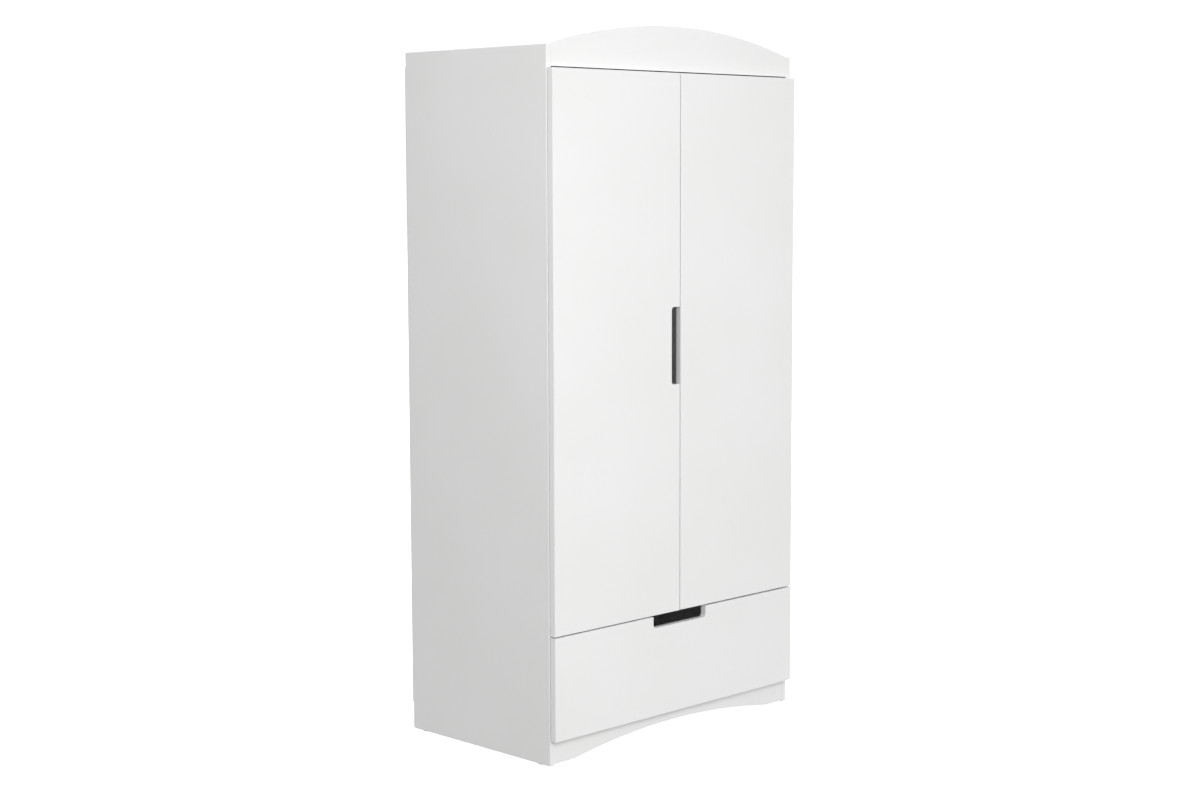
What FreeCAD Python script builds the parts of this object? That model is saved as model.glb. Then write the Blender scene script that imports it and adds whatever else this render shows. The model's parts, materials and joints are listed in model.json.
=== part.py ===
import FreeCAD, Part
import math
import os

import Sketcher

# A free-standing wardrobe: two doors over one full-width drawer, an arched crown board above the doors and
# an arched plinth board below the drawer.  The origin is on the floor under the middle of the wardrobe,
# +X is to the right, +Y to the back and +Z up, so the doors face -Y.  Everything is in millimetres.

DIMENSIONS = {
    # outline
    "width": 1000,                  # over the side panels
    "depth": 600,                   # from the doors' faces to the nail heads in the back
    "side_height": 1950,
    "board": 18,                    # carcass boards
    "door_thickness": 18,           # doors and drawer front
    "door_standoff": 2,             # doors' backs to the carcass front
    "front_gap": 4,                 # gap between neighbouring fronts
    "front_inset": 1,               # fronts' outer edges inside the side panels' faces
    "crown_end_height": 58,
    "crown_rise": 67,
    "base_level": 80,               # underside of the base panel
    "drawer_front_height": 288,
    "drawer_front_drop": 7,         # how far the drawer front hangs below the base panel
    "plinth_recess": 1.5,
    "plinth_lift": 3,               # plinth board's feet above the side panels' feet
    "plinth_arch_half": 408,
    "plinth_arch_rise": 36,
    "plinth_foot_blend": 90,
    "rear_rail_setback": 30,
    # finger notches
    "notch_length": 220,
    "notch_depth": 33,
    "notch_corner": 9,
    "notch_lip": 1.5,
    # back
    "back_thickness": 3,
    "back_seam": 2,
    "strip_flange": 11,
    "strip_gauge": 1,
    "nail_head": 1,
    "nail_head_radius": 3,
    "nail_radius": 0.9,
    "nail_length": 20,
    "nail_pitch": 150,
    # feet
    "glide_height": 3,
    "glide_radius": 8,
    "glide_setback": 45,
    "glide_pin_radius": 1.5,
    "glide_pin_length": 14,
    # inside
    "shelf_drop": 295,              # crown's underside to the shelf pins
    "shelf_setback": 20,
    "shelf_end_clearance": 1.5,
    "pin_pitch": 32,
    "pin_setback": 55,
    "pin_radius": 2.5,
    "pin_length": 8,
    "pin_collar_radius": 4.5,
    "pin_collar": 1,
    "rail_drop": 58,                # shelf pins to the rail's axis
    "rail_radius": 12.5,
    "rail_wall": 1.2,
    "flange_radius": 24,
    "flange_plate": 3,
    "flange_socket": 14,
    "flange_wall": 2.3,
    # fastenings
    "slack": 0.1,                   # round a fastener in its hole
    "hole_extra": 0.5,              # a blind hole's depth past its fastener
    "cam_radius": 7.5,
    "cam_height": 12.5,
    "cam_distance": 24,
    "bolt_radius": 3.4,
    "bolt_thread_radius": 2.9,
    "bolt_thread": 11,
    "bolt_head_radius": 2,
    "dowel_radius": 4,
    "dowel_length": 30,
    "dowel_in_side": 12,
    "joint_setback": 60,            # cam joints from a panel's front and rear edges
    "joint_pitch": 32,              # cam to its dowel
    "crown_cam_drop": 16,           # from the crown board's ends' height
    "crown_dowel_rise": 14,
    "plinth_cam_drop": 18,          # below the base panel
    "plinth_dowel_rise": 16,
    "screw_radius": 1.8,
    "screw_head_radius": 3.6,
    "screw_head": 1.2,
    "screw_grip": 13,               # a screw's length in the board that it holds to
    # hinges, seen from above: u from the side panel's face inwards, v from the carcass front backwards
    "hinge_end": 100,               # outer hinges from the door's ends
    "pivot_inset": 6,               # the door's turning axis from its edge and from its back
    "pivot_depth": 10,
    "cup_radius": 17.5,
    "cup_depth": 13,
    "cup_wall": 1,
    "cup_rim": 1,
    "cup_edge": 3,                  # cup to the door's edge
    "cup_ear_half": 31,
    "cup_screw_half": 24,
    "cup_screw_offset": 9.5,
    "cup_ear_margin": 6,
    "plate_setback": 37,
    "plate_gauge": 2.5,
    "plate_wing_half": 26,
    "plate_wing_width": 14,
    "plate_rib_lead": 14,           # rib's front end behind the arm's
    "plate_rib_tail": 2,
    "plate_rib": 7.5,
    "plate_rib_half": 4,
    "plate_screw_half": 16,
    "arm_half": 6,
    "arm_gauge": 1.2,
    "arm_height": 14.5,
    "arm_rear": 60,
    "arm_front": 4,
    "arm_screw_fore": 11,           # arm's screws before and behind the plate's
    "arm_screw_aft": 13,
    "arm_screw_relief": 3,
    "arm_pivot_u": 34,
    "arm_pivot_v": -1,
    "arm_eye_radius": 2.5,
    "hinge_pin_radius": 1.2,
    "link_half": 3.6,
    "link_gauge": 1.6,
    "link_end_u": 10,
    "link_end_v": -7,
    "link_eye_radius": 2.3,
    # bumpers
    "bumper_radius": 4,
    "bumper_height": 1.7,
    "bumper_inset": 24,
    "bumper_edge": 3,
    # drawer box and its runners
    "runner_gap": 12.7,             # side panel to drawer side
    "runner_setback": 3,
    "runner_length": 500,
    "runner_gauge": 1.2,
    "runner_rise": 70,              # runner's axis above the drawer box's underside
    "runner_fixing": 37,            # end screws from the runner's ends
    "outer_half": 22.5,
    "outer_reach": 9.5,
    "middle_half": 17.2,
    "middle_start": 3,
    "middle_reach": 11,
    "inner_half": 11.7,
    "inner_start": 5.4,
    "cage_gauge": 0.5,
    "cage_length": 240,
    "cage_reach": 9.2,
    "outer_cage_start": 1.8,
    "inner_cage_start": 4.55,
    "ball_clearance": 0.2,
    "ball_pitch": 40,
    "drawer_clearance": 14,         # base panel to the drawer box
    "drawer_board": 15,
    "drawer_height": 180,
    "drawer_length": 500,
    "drawer_bottom_rise": 10,
    "drawer_bottom_gauge": 3,
    "groove_depth": 6,
    "groove_slack": 0.2,
    "drawer_fixing": 32,            # fastenings from the drawer sides' edges
    "corner_screw_grip": 25,
    # wall brackets
    "bracket_spacing": 600,
    "bracket_width": 20,
    "bracket_leg": 40,
    "bracket_gauge": 2,
    "bracket_hole_radius": 3,
    "bracket_hole_rise": 25,
    "bracket_screw_setback": 12,
}

HINGES_PER_DOOR = 3
PIN_HOLES = 9
SHELF_HOLE = 5
BALLS_PER_ROW = 6

doc = FreeCAD.newDocument("Wardrobe")
sheet = doc.addObject("Spreadsheet::Sheet", "dims")
for row, (alias, value) in enumerate(DIMENSIONS.items(), start=1):
    sheet.set(f"A{row}", alias)
    sheet.set(f"B{row}", str(value))
    sheet.setAlias(f"B{row}", alias)
doc.recompute()

# Planes and levels shared by several pieces, as expressions on the sheet.
SIDE_FACE = "(-dims.width / 2)"
INNER = "(-dims.width / 2 + dims.board)"
DOOR_FACE = "(-dims.depth / 2)"
DOOR_BACK = "(-dims.depth / 2 + dims.door_thickness)"
CARCASS_FRONT = "(-dims.depth / 2 + dims.door_thickness + dims.door_standoff)"
CARCASS_REAR = "(dims.depth / 2 - dims.nail_head - dims.back_thickness)"
CARCASS_DEPTH = f"({CARCASS_REAR} - {CARCASS_FRONT})"
CARCASS_MIDDLE = f"(({CARCASS_REAR} + {CARCASS_FRONT}) / 2)"
SIDE_TOP = "(dims.glide_height + dims.side_height)"
CROWN_BOTTOM = f"({SIDE_TOP} - dims.crown_end_height)"
DRAWER_FRONT_BOTTOM = "(dims.base_level - dims.drawer_front_drop)"
DRAWER_FRONT_TOP = f"({DRAWER_FRONT_BOTTOM} + dims.drawer_front_height)"
DOOR_BOTTOM = f"({DRAWER_FRONT_TOP} + dims.front_gap)"
DOOR_TOP = f"({CROWN_BOTTOM} - dims.front_gap)"
DOOR_MIDDLE = f"(({DOOR_BOTTOM} + {DOOR_TOP}) / 2)"
FRONT_EDGE = f"({SIDE_FACE} + dims.front_inset)"
PIN_LEVEL = f"({CROWN_BOTTOM} - dims.shelf_drop)"
RAIL_LEVEL = f"({PIN_LEVEL} - dims.rail_drop)"
DRAWER_BOTTOM = "(dims.base_level + dims.board + dims.drawer_clearance)"
DRAWER_OUTER = f"({INNER} + dims.runner_gap)"
DRAWER_INNER = f"({DRAWER_OUTER} + dims.drawer_board)"
DRAWER_REAR = f"({DOOR_BACK} + dims.drawer_length)"
RUNNER_LEVEL = f"({DRAWER_BOTTOM} + dims.runner_rise)"
RUNNER_FRONT = f"({CARCASS_FRONT} + dims.runner_setback)"
RUNNER_REAR = f"({RUNNER_FRONT} + dims.runner_length)"

TURNS = {
    "+x": FreeCAD.Rotation(FreeCAD.Vector(0, 1, 0), 90),
    "-x": FreeCAD.Rotation(FreeCAD.Vector(0, 1, 0), -90),
    "+y": FreeCAD.Rotation(FreeCAD.Vector(1, 0, 0), -90),
    "-y": FreeCAD.Rotation(FreeCAD.Vector(1, 0, 0), 90),
    "+z": FreeCAD.Rotation(),
    "-z": FreeCAD.Rotation(FreeCAD.Vector(1, 0, 0), 180),
}
STEPS = {"x": (1, 0, 0), "y": (0, 1, 0), "z": (0, 0, 1)}


def number(expression):
    """The present value of an expression on the sheet."""
    return float(sheet.evalExpression(str(expression)))


def place(item, x, y, z):
    """Tie an object's base point to expressions."""
    item.setExpression("Placement.Base.x", str(x))
    item.setExpression("Placement.Base.y", str(y))
    item.setExpression("Placement.Base.z", str(z))


def box(label, corner, size):
    item = doc.addObject("Part::Box", label)
    place(item, *corner)
    for side, expression in zip(("Length", "Width", "Height"), size):
        item.setExpression(side, str(expression))
    return item


def rod(label, axis, start, radius, length):
    """A cylinder that starts at a point and runs along a signed axis, such as -y."""
    item = doc.addObject("Part::Cylinder", label)
    item.Placement = FreeCAD.Placement(FreeCAD.Vector(), TURNS[axis])
    place(item, *start)
    item.setExpression("Radius", str(radius))
    item.setExpression("Height", str(length))
    return item


def ball(label, centre, radius):
    item = doc.addObject("Part::Sphere", label)
    place(item, *centre)
    item.setExpression("Radius", str(radius))
    return item


def fuse(label, pieces):
    item = doc.addObject("Part::MultiFuse", label)
    item.Shapes = pieces
    return item


def cut(label, base, tool):
    item = doc.addObject("Part::Cut", label)
    item.Base = base
    item.Tool = tool
    return item


def group(label, pieces):
    item = doc.addObject("Part::Compound", label)
    item.Links = pieces
    return item


def mirror(label, source):
    """The right-hand twin of a left-hand piece."""
    item = doc.addObject("Part::Mirroring", label)
    item.Source = source
    item.Normal = FreeCAD.Vector(1, 0, 0)
    return item


def both_sides(label, pieces):
    """Left-hand pieces and their right-hand twins in one group."""
    left = group(f"{label}_half", pieces)
    return group(label, [left, mirror(f"{label}_other_half", left)])


def shifted(point, axis, distance):
    """A point moved along a signed axis by an expression."""
    sign = axis[0]
    steps = STEPS[axis[1]]
    return tuple(f"({value} {sign} {distance})" if step else value for value, step in zip(point, steps))


def screw(label, axis, seat, length, head="dims.screw_head", radius="dims.screw_radius",
          head_radius="dims.screw_head_radius"):
    """A pan-head screw whose head stands on the seat and whose shank runs along the axis."""
    back = {"+": "-", "-": "+"}[axis[0]] + axis[1]
    shank = rod(f"{label}_shank", axis, seat, radius, length)
    cap = rod(f"{label}_head", back, seat, head_radius, head)
    return fuse(label, [shank, cap])


def bore(label, axis, start, radius, length):
    """A hole for a fastener: its radius plus the slack, its length plus the extra depth."""
    return rod(label, axis, start, f"{radius} + dims.slack", f"{length} + dims.hole_extra")


def outline(body, corners, arcs=None):
    """Sketch a closed outline of straight edges in the body's XZ plane.

    Each corner is a pair of expressions.  arcs maps an edge's number to its (rise, radius): the edge then
    bows upwards by the rise.
    """
    arcs = arcs or {}
    plane = next(item for item in body.Origin.OriginFeatures if item.Role == "XZ_Plane")
    sketch = body.newObject("Sketcher::SketchObject", f"{body.Name}_outline")
    sketch.AttachmentSupport = [(plane, "")]
    sketch.MapMode = "FlatFace"
    points = [FreeCAD.Vector(number(x), number(z), 0) for x, z in corners]
    ends = []
    for index, start in enumerate(points):
        finish = points[(index + 1) % len(points)]
        if index in arcs:
            rise, radius = arcs[index]
            crest = (start + finish) / 2 + FreeCAD.Vector(0, number(rise), 0)
            clockwise = (crest - start).cross(finish - crest).z < 0
            arc = Part.Arc(finish, crest, start) if clockwise else Part.Arc(start, crest, finish)
            edge = sketch.addGeometry(arc)
            ends.append((edge, 2, 1) if clockwise else (edge, 1, 2))
            bend = sketch.addConstraint(Sketcher.Constraint("Radius", edge, number(radius)))
            sketch.setExpression(f"Constraints[{bend}]", radius)
        else:
            edge = sketch.addGeometry(Part.LineSegment(start, finish))
            ends.append((edge, 1, 2))
    for index, (edge, first, last) in enumerate(ends):
        following, following_first, _ = ends[(index + 1) % len(ends)]
        sketch.addConstraint(Sketcher.Constraint("Coincident", edge, last, following, following_first))
        for kind, expression in zip(("DistanceX", "DistanceY"), corners[index]):
            value = number(expression)
            datum = sketch.addConstraint(Sketcher.Constraint(kind, -1, 1, edge, first, value))
            sketch.setExpression(f"Constraints[{datum}]", str(expression))
    return sketch


def upright_board(label, corners, thickness, back, arcs=None):
    """A board standing in the XZ plane: its outline, padded forwards from its back face."""
    body = doc.addObject("PartDesign::Body", label)
    sketch = outline(body, corners, arcs)
    pad = body.newObject("PartDesign::Pad", f"{label}_pad")
    pad.Profile = sketch
    pad.setExpression("Length", thickness)
    sketch.Visibility = False
    body.setExpression("Placement.Base.y", back)
    doc.recompute()
    return body


def edges_at(pad, spots):
    """Names of the edges of a pad that run front to back through the given (x, z) spots."""
    names = []
    for index, edge in enumerate(pad.Shape.Edges, start=1):
        ends = [vertex.Point for vertex in edge.Vertexes]
        if len(ends) != 2 or abs(ends[0].y - ends[1].y) < 0.01:
            continue
        if any(math.hypot(ends[0].x - x, ends[0].z - z) < 0.01 for x, z in spots):
            names.append(f"Edge{index}")
    return names


def round_corners(body, spots, radius):
    """Round the front-to-back edges of an upright board at the given corners."""
    before = body.Tip
    fillet = body.newObject("PartDesign::Fillet", f"{body.Name}_corners_{len(body.Group)}")
    names = edges_at(before, [(number(x), number(z)) for x, z in spots])
    assert len(names) == len(spots), f"{body.Name}: corner edges not found"
    fillet.Base = (before, names)
    fillet.setExpression("Radius", radius)
    body.Tip = fillet
    doc.recompute()


# ---------------------------------------------------------------------------------------------------------
# Cam joints and dowels.  All are on the left; their twins come from the mirror.

cams = []
cam_bolts = []
dowels = []
side_holes = []


def cam_joint(label, cam_axis, cam_start, bolt_y, bolt_z):
    """A cam lock in a board's face and its bolt, which is screwed into the side panel."""
    cam_x = f"({INNER} + dims.cam_distance)"
    start = (cam_x, *cam_start)
    disc = rod(f"{label}_disc", cam_axis, start, "dims.cam_radius", "dims.cam_height")
    throat = "(dims.bolt_head_radius + dims.slack)"
    slot_corner = (f"{cam_x} - dims.cam_radius - 1", f"{bolt_y} - {throat}", f"{bolt_z} - {throat}")
    slot = box(f"{label}_slot", slot_corner,
               (f"dims.cam_radius + 1 + {throat}", f"2 * {throat}", f"2 * {throat}"))
    cams.append(cut(f"{label}_cam", disc, slot))
    face = (INNER, bolt_y, bolt_z)
    thread = rod(f"{label}_thread", "-x", face, "dims.bolt_thread_radius", "dims.bolt_thread")
    shank_length = "(dims.cam_distance - dims.cam_radius - dims.hole_extra)"
    shank = rod(f"{label}_shank", "+x", face, "dims.bolt_radius", shank_length)
    head = rod(f"{label}_head", "+x", face, "dims.bolt_head_radius", "dims.cam_distance")
    cam_bolts.append(fuse(f"{label}_bolt", [thread, shank, head]))
    side_holes.append(bore(f"{label}_thread_hole", "-x", face, "dims.bolt_thread_radius", "dims.bolt_thread"))
    pocket = bore(f"{label}_pocket", cam_axis, start, "dims.cam_radius", "dims.cam_height")
    passage = rod(f"{label}_passage", "+x", face, "dims.bolt_radius + dims.slack", "dims.cam_distance")
    return [pocket, passage]


def dowel_joint(label, y, z):
    """A wooden dowel between the side panel and a board's end."""
    start = (f"({INNER} - dims.dowel_in_side)", y, z)
    dowels.append(rod(f"{label}_dowel", "+x", start, "dims.dowel_radius", "dims.dowel_length"))
    face = (INNER, y, z)
    side_holes.append(bore(f"{label}_side_hole", "-x", face, "dims.dowel_radius", "dims.dowel_in_side"))
    in_board = "(dims.dowel_length - dims.dowel_in_side)"
    return [bore(f"{label}_board_hole", "+x", face, "dims.dowel_radius", in_board)]


def drilled(label, blank, left_holes):
    """A board that both sides' holes are cut from."""
    half = fuse(f"{label}_holes", left_holes)
    holes = group(f"{label}_all_holes", [half, mirror(f"{label}_twin_holes", half)])
    return cut(label, blank, holes)


# ---------------------------------------------------------------------------------------------------------
# Carcass boards between the side panels

INNER_WIDTH = "(dims.width - 2 * dims.board)"


def flat_panel(label, level, front):
    """A full-width panel, held at each end by two cam joints and two dowels."""
    depth = f"({CARCASS_REAR} - {front})"
    blank = box(f"{label}_blank", (INNER, front, level), (INNER_WIDTH, depth, "dims.board"))
    axis_z = f"({level} + dims.board / 2)"
    fore = f"({front} + dims.joint_setback)"
    aft = f"({CARCASS_REAR} - dims.joint_setback)"
    holes = cam_joint(f"{label}_fore", "+z", (fore, level), fore, axis_z)
    holes += cam_joint(f"{label}_aft", "+z", (aft, level), aft, axis_z)
    holes += dowel_joint(f"{label}_fore", f"({fore} + dims.joint_pitch)", axis_z)
    holes += dowel_joint(f"{label}_aft", f"({aft} - dims.joint_pitch)", axis_z)
    return blank, holes


def upright_joints(label, rear, cam_z, dowel_z):
    """A cam joint and a dowel at the end of an upright board, whose cams are in its rear face."""
    axis_y = f"({rear} - dims.board / 2)"
    holes = cam_joint(label, "-y", (rear, cam_z), axis_y, cam_z)
    holes += dowel_joint(label, axis_y, dowel_z)
    return holes


nails = []


def nail(label, x, z):
    """A nail through the back panel; its hole is cut from the panel and from the board behind it."""
    seat = (x, "(dims.depth / 2 - dims.nail_head)", z)
    nails.append(screw(label, "-y", seat, "dims.nail_length", "dims.nail_head", "dims.nail_radius",
                       "dims.nail_head_radius"))
    return bore(f"{label}_hole", "-y", seat, "dims.nail_radius", "dims.nail_length")


BACK_BOTTOM = "(dims.base_level + dims.front_inset)"
BACK_TOP = f"({CROWN_BOTTOM} + dims.board - dims.front_inset)"
BACK_HEIGHT = f"({BACK_TOP} - {BACK_BOTTOM})"
SIDE_MID = f"({SIDE_FACE} + dims.board / 2)"

side_nail_count = round(number(BACK_HEIGHT) / number("dims.nail_pitch"))
side_nails = []
for index in range(side_nail_count + 1):
    climb = f"({BACK_HEIGHT} - 2 * dims.board) * {index} / {side_nail_count}"
    side_nails.append(nail(f"side_nail_{index}", SIDE_MID, f"({BACK_BOTTOM} + dims.board + {climb})"))


def row_nails(label, level):
    """Nails along the rear edge of a full-width panel, on the left half."""
    count = round(number(INNER_WIDTH) / 2 / number("dims.nail_pitch"))
    spacing = f"({INNER_WIDTH} / 2 / {count})"
    middle = f"({level} + dims.board / 2)"
    return [nail(f"{label}_nail_{index}", f"({INNER} + {spacing} * ({index} + 0.5))", middle)
            for index in range(count)]


TOP_FRONT = f"({CARCASS_FRONT} + dims.board)"
top_blank, top_holes = flat_panel("top_panel", CROWN_BOTTOM, TOP_FRONT)
floor_blank, floor_holes = flat_panel("compartment_floor", DRAWER_FRONT_TOP, CARCASS_FRONT)
base_blank, base_holes = flat_panel("base_panel", "dims.base_level", CARCASS_FRONT)
top_nails = row_nails("top", CROWN_BOTTOM)
floor_nails = row_nails("floor", DRAWER_FRONT_TOP)
base_nails = row_nails("base", "dims.base_level")

# Crown board: straight below, a shallow arch above.
crown_half = f"({INNER_WIDTH} / 2)"
crown_radius = f"(({crown_half}^2 + dims.crown_rise^2) / (2 * dims.crown_rise))"
crown_corners = [
    (f"-{crown_half}", CROWN_BOTTOM),
    (crown_half, CROWN_BOTTOM),
    (crown_half, SIDE_TOP),
    (f"-{crown_half}", SIDE_TOP),
]
crown_rear = f"({CARCASS_FRONT} + dims.board)"
crown_blank = upright_board("crown_blank", crown_corners, "dims.board", crown_rear,
                            {2: ("dims.crown_rise", crown_radius)})
crown_holes = upright_joints("crown", crown_rear, f"({SIDE_TOP} - dims.crown_cam_drop)",
                             f"({CROWN_BOTTOM} + dims.crown_dowel_rise)")
crown_board = drilled("crown_board", crown_blank, crown_holes)

# Plinth board: a long shallow arch leaves a foot at each end.
plinth_bottom = "(dims.glide_height + dims.plinth_lift)"
arch_radius = "((dims.plinth_arch_half^2 + dims.plinth_arch_rise^2) / (2 * dims.plinth_arch_rise))"
plinth_corners = [
    (f"-{crown_half}", plinth_bottom),
    ("-dims.plinth_arch_half", plinth_bottom),
    ("dims.plinth_arch_half", plinth_bottom),
    (crown_half, plinth_bottom),
    (crown_half, "dims.base_level"),
    (f"-{crown_half}", "dims.base_level"),
]
plinth_rear = f"({CARCASS_FRONT} + dims.plinth_recess + dims.board)"
plinth_blank = upright_board("plinth_blank", plinth_corners, "dims.board", plinth_rear,
                             {1: ("dims.plinth_arch_rise", arch_radius)})
round_corners(plinth_blank, plinth_corners[1:3], "dims.plinth_foot_blend")
plinth_cam_z = "(dims.base_level - dims.plinth_cam_drop)"
plinth_dowel_z = f"({plinth_bottom} + dims.plinth_dowel_rise)"
plinth_board = drilled("plinth_board", plinth_blank,
                       upright_joints("plinth", plinth_rear, plinth_cam_z, plinth_dowel_z))

rail_rear = f"({CARCASS_REAR} - dims.rear_rail_setback)"
rear_rail_blank = box("rear_rail_blank", (INNER, f"{rail_rear} - dims.board", plinth_bottom),
                      (INNER_WIDTH, "dims.board", f"dims.base_level - {plinth_bottom}"))
rear_plinth_rail = drilled("rear_plinth_rail", rear_rail_blank,
                           upright_joints("rear_rail", rail_rear, plinth_cam_z, plinth_dowel_z))

# ---------------------------------------------------------------------------------------------------------
# Wall brackets on the top panel

bracket_rear = "(dims.depth / 2)"
bracket_level = f"({CROWN_BOTTOM} + dims.board)"
bracket_x = "(-dims.bracket_spacing / 2)"
bracket_left = f"({bracket_x} - dims.bracket_width / 2)"
bracket_foot = box("bracket_foot", (bracket_left, f"{bracket_rear} - dims.bracket_leg", bracket_level),
                   ("dims.bracket_width", "dims.bracket_leg", "dims.bracket_gauge"))
bracket_wall = box("bracket_wall", (bracket_left, f"{bracket_rear} - dims.bracket_gauge", bracket_level),
                   ("dims.bracket_width", "dims.bracket_gauge", "dims.bracket_leg"))
bracket_blank = fuse("bracket_blank", [bracket_foot, bracket_wall])
wall_hole_start = (bracket_x, f"{bracket_rear} + 1", f"{bracket_level} + dims.bracket_hole_rise")
wall_hole = rod("wall_hole", "-y", wall_hole_start, "dims.bracket_hole_radius", "dims.bracket_gauge + 2")
bracket_screw_length = "(dims.bracket_gauge + dims.screw_grip)"
bracket_screw_y = f"({bracket_rear} - dims.bracket_leg + dims.bracket_screw_setback)"
bracket_seat = (bracket_x, bracket_screw_y, f"({bracket_level} + dims.bracket_gauge)")
bracket_screw = screw("bracket_screw", "-z", bracket_seat, bracket_screw_length)
bracket_screw_hole = bore("bracket_screw_hole", "-z", bracket_seat, "dims.screw_radius", bracket_screw_length)
bracket = cut("bracket", bracket_blank, group("bracket_holes", [wall_hole, bracket_screw_hole]))
wall_brackets = both_sides("wall_brackets", [bracket])
wall_bracket_screws = both_sides("wall_bracket_screws", [bracket_screw])

top_panel = drilled("top_panel", top_blank, top_holes + top_nails + [bracket_screw_hole])
compartment_floor = drilled("compartment_floor", floor_blank, floor_holes + floor_nails)

# ---------------------------------------------------------------------------------------------------------
# Shelf, shelf pins and hanging rail

pin_rows = {
    "fore": f"({CARCASS_FRONT} + dims.pin_setback)",
    "aft": f"({CARCASS_REAR} - dims.pin_setback)",
}
pins = []
for row_name, row_y in pin_rows.items():
    for index in range(PIN_HOLES):
        level = f"({PIN_LEVEL} + ({index} - {SHELF_HOLE}) * dims.pin_pitch)"
        side_holes.append(bore(f"pin_hole_{row_name}_{index}", "-x", (INNER, row_y, level), "dims.pin_radius",
                               "dims.pin_length"))
    peg_start = (f"({INNER} - dims.pin_length)", row_y, PIN_LEVEL)
    peg = rod(f"pin_peg_{row_name}", "+x", peg_start, "dims.pin_radius", "2 * dims.pin_length")
    collar = rod(f"pin_collar_{row_name}", "+x", (INNER, row_y, PIN_LEVEL), "dims.pin_collar_radius",
                 "dims.pin_collar")
    pins.append(fuse(f"pin_{row_name}", [peg, collar]))
shelf_pins = both_sides("shelf_pins", pins)

shelf_bottom = f"({PIN_LEVEL} + dims.pin_radius)"
shelf_corner = (f"{INNER} + dims.shelf_end_clearance", f"{CARCASS_FRONT} + dims.shelf_setback", shelf_bottom)
shelf_width = f"({INNER_WIDTH} - 2 * dims.shelf_end_clearance)"
shelf_depth = f"({CARCASS_DEPTH} - dims.shelf_setback)"
upper_shelf = box("upper_shelf", shelf_corner, (shelf_width, shelf_depth, "dims.board"))

rail_start = f"({INNER} + dims.flange_plate + dims.slack)"
rail_length = f"({INNER_WIDTH} - 2 * (dims.flange_plate + dims.slack))"
rail_skin = rod("rail_skin", "+x", (rail_start, CARCASS_MIDDLE, RAIL_LEVEL), "dims.rail_radius", rail_length)
rail_bore = rod("rail_bore", "+x", (f"{rail_start} - 1", CARCASS_MIDDLE, RAIL_LEVEL),
                "dims.rail_radius - dims.rail_wall", f"{rail_length} + 2")
hanging_rail = cut("hanging_rail", rail_skin, rail_bore)

socket_radius = "(dims.rail_radius + dims.slack)"
flange_seat = (INNER, CARCASS_MIDDLE, RAIL_LEVEL)
flange_disc = rod("flange_disc", "+x", flange_seat, "dims.flange_radius", "dims.flange_plate")
flange_collar = rod("flange_collar", "+x", flange_seat, f"{socket_radius} + dims.flange_wall",
                    "dims.flange_plate + dims.flange_socket")
flange_socket = rod("flange_socket", "+x", (f"({INNER} + dims.flange_plate)", CARCASS_MIDDLE, RAIL_LEVEL),
                    socket_radius, "dims.flange_socket + 1")
flange_blank = fuse("flange_blank", [flange_disc, flange_collar])
flange_screw_offset = f"((dims.flange_radius + {socket_radius} + dims.flange_wall) / 2)"
flange_screw_length = "(dims.flange_plate + dims.screw_grip)"
flange_screws = []
flange_screw_holes = []
for name, sign in (("upper", "+"), ("lower", "-")):
    seat = (f"({INNER} + dims.flange_plate)", CARCASS_MIDDLE, f"({RAIL_LEVEL} {sign} {flange_screw_offset})")
    flange_screws.append(screw(f"flange_screw_{name}", "-x", seat, flange_screw_length))
    flange_screw_holes.append(bore(f"flange_screw_hole_{name}", "-x", seat, "dims.screw_radius",
                                   flange_screw_length))
side_holes += flange_screw_holes
flange_tool = group("flange_holes", [flange_socket] + flange_screw_holes)
rail_flange_left = cut("rail_flange_left", flange_blank, flange_tool)
rail_flange_right = mirror("rail_flange_right", rail_flange_left)
rail_screws = both_sides("rail_screws", flange_screws)

# ---------------------------------------------------------------------------------------------------------
# Hinges.  u is measured inwards from the side panel's outer face, v backwards from the carcass front.


def at_u(distance):
    return f"({SIDE_FACE} + {distance})"


def at_v(distance):
    return f"({CARCASS_FRONT} + {distance})"


cup_centre = "(dims.front_inset + dims.cup_edge + dims.cup_radius)"
plate_top = "(dims.board + dims.plate_gauge)"
arm_top = "(dims.board + dims.arm_height)"
hinge_span = f"({DOOR_TOP} - {DOOR_BOTTOM} - 2 * dims.hinge_end)"
hinge_levels = []
for index in range(HINGES_PER_DOOR):
    climb = f"{hinge_span} * {index} / {HINGES_PER_DOOR - 1}"
    hinge_levels.append(f"({DOOR_BOTTOM} + dims.hinge_end + {climb})")

plates = []
plate_screws = []
arms = []
arm_screws = []
cups = []
cup_screws = []
links = []
door_holes = []


def hinge_plate(name, z):
    """A cross-shaped plate with a rib for the arm, held by two screws."""
    middle = "dims.plate_setback"
    wing_front = at_v(f"{middle} - dims.plate_wing_width / 2")
    wing = box(f"{name}_wing", (at_u("dims.board"), wing_front, f"{z} - dims.plate_wing_half"),
               ("dims.plate_gauge", "dims.plate_wing_width", "2 * dims.plate_wing_half"))
    rib_front = at_v("dims.arm_front + dims.plate_rib_lead")
    rib_length = "(dims.arm_rear - dims.arm_front - dims.plate_rib_lead - dims.plate_rib_tail)"
    rib = box(f"{name}_rib", (at_u("dims.board"), rib_front, f"{z} - dims.plate_rib_half"),
              ("dims.plate_gauge + dims.plate_rib", rib_length, "2 * dims.plate_rib_half"))
    holes = []
    for side, sign in (("upper", "+"), ("lower", "-")):
        seat = (at_u(plate_top), at_v(middle), f"({z} {sign} dims.plate_screw_half)")
        length = "(dims.plate_gauge + dims.screw_grip)"
        plate_screws.append(screw(f"{name}_screw_{side}", "-x", seat, length))
        holes.append(bore(f"{name}_screw_hole_{side}", "-x", seat, "dims.screw_radius", length))
    side_holes.extend(holes)
    return fuse(f"{name}_cross", [wing, rib]), holes


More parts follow.
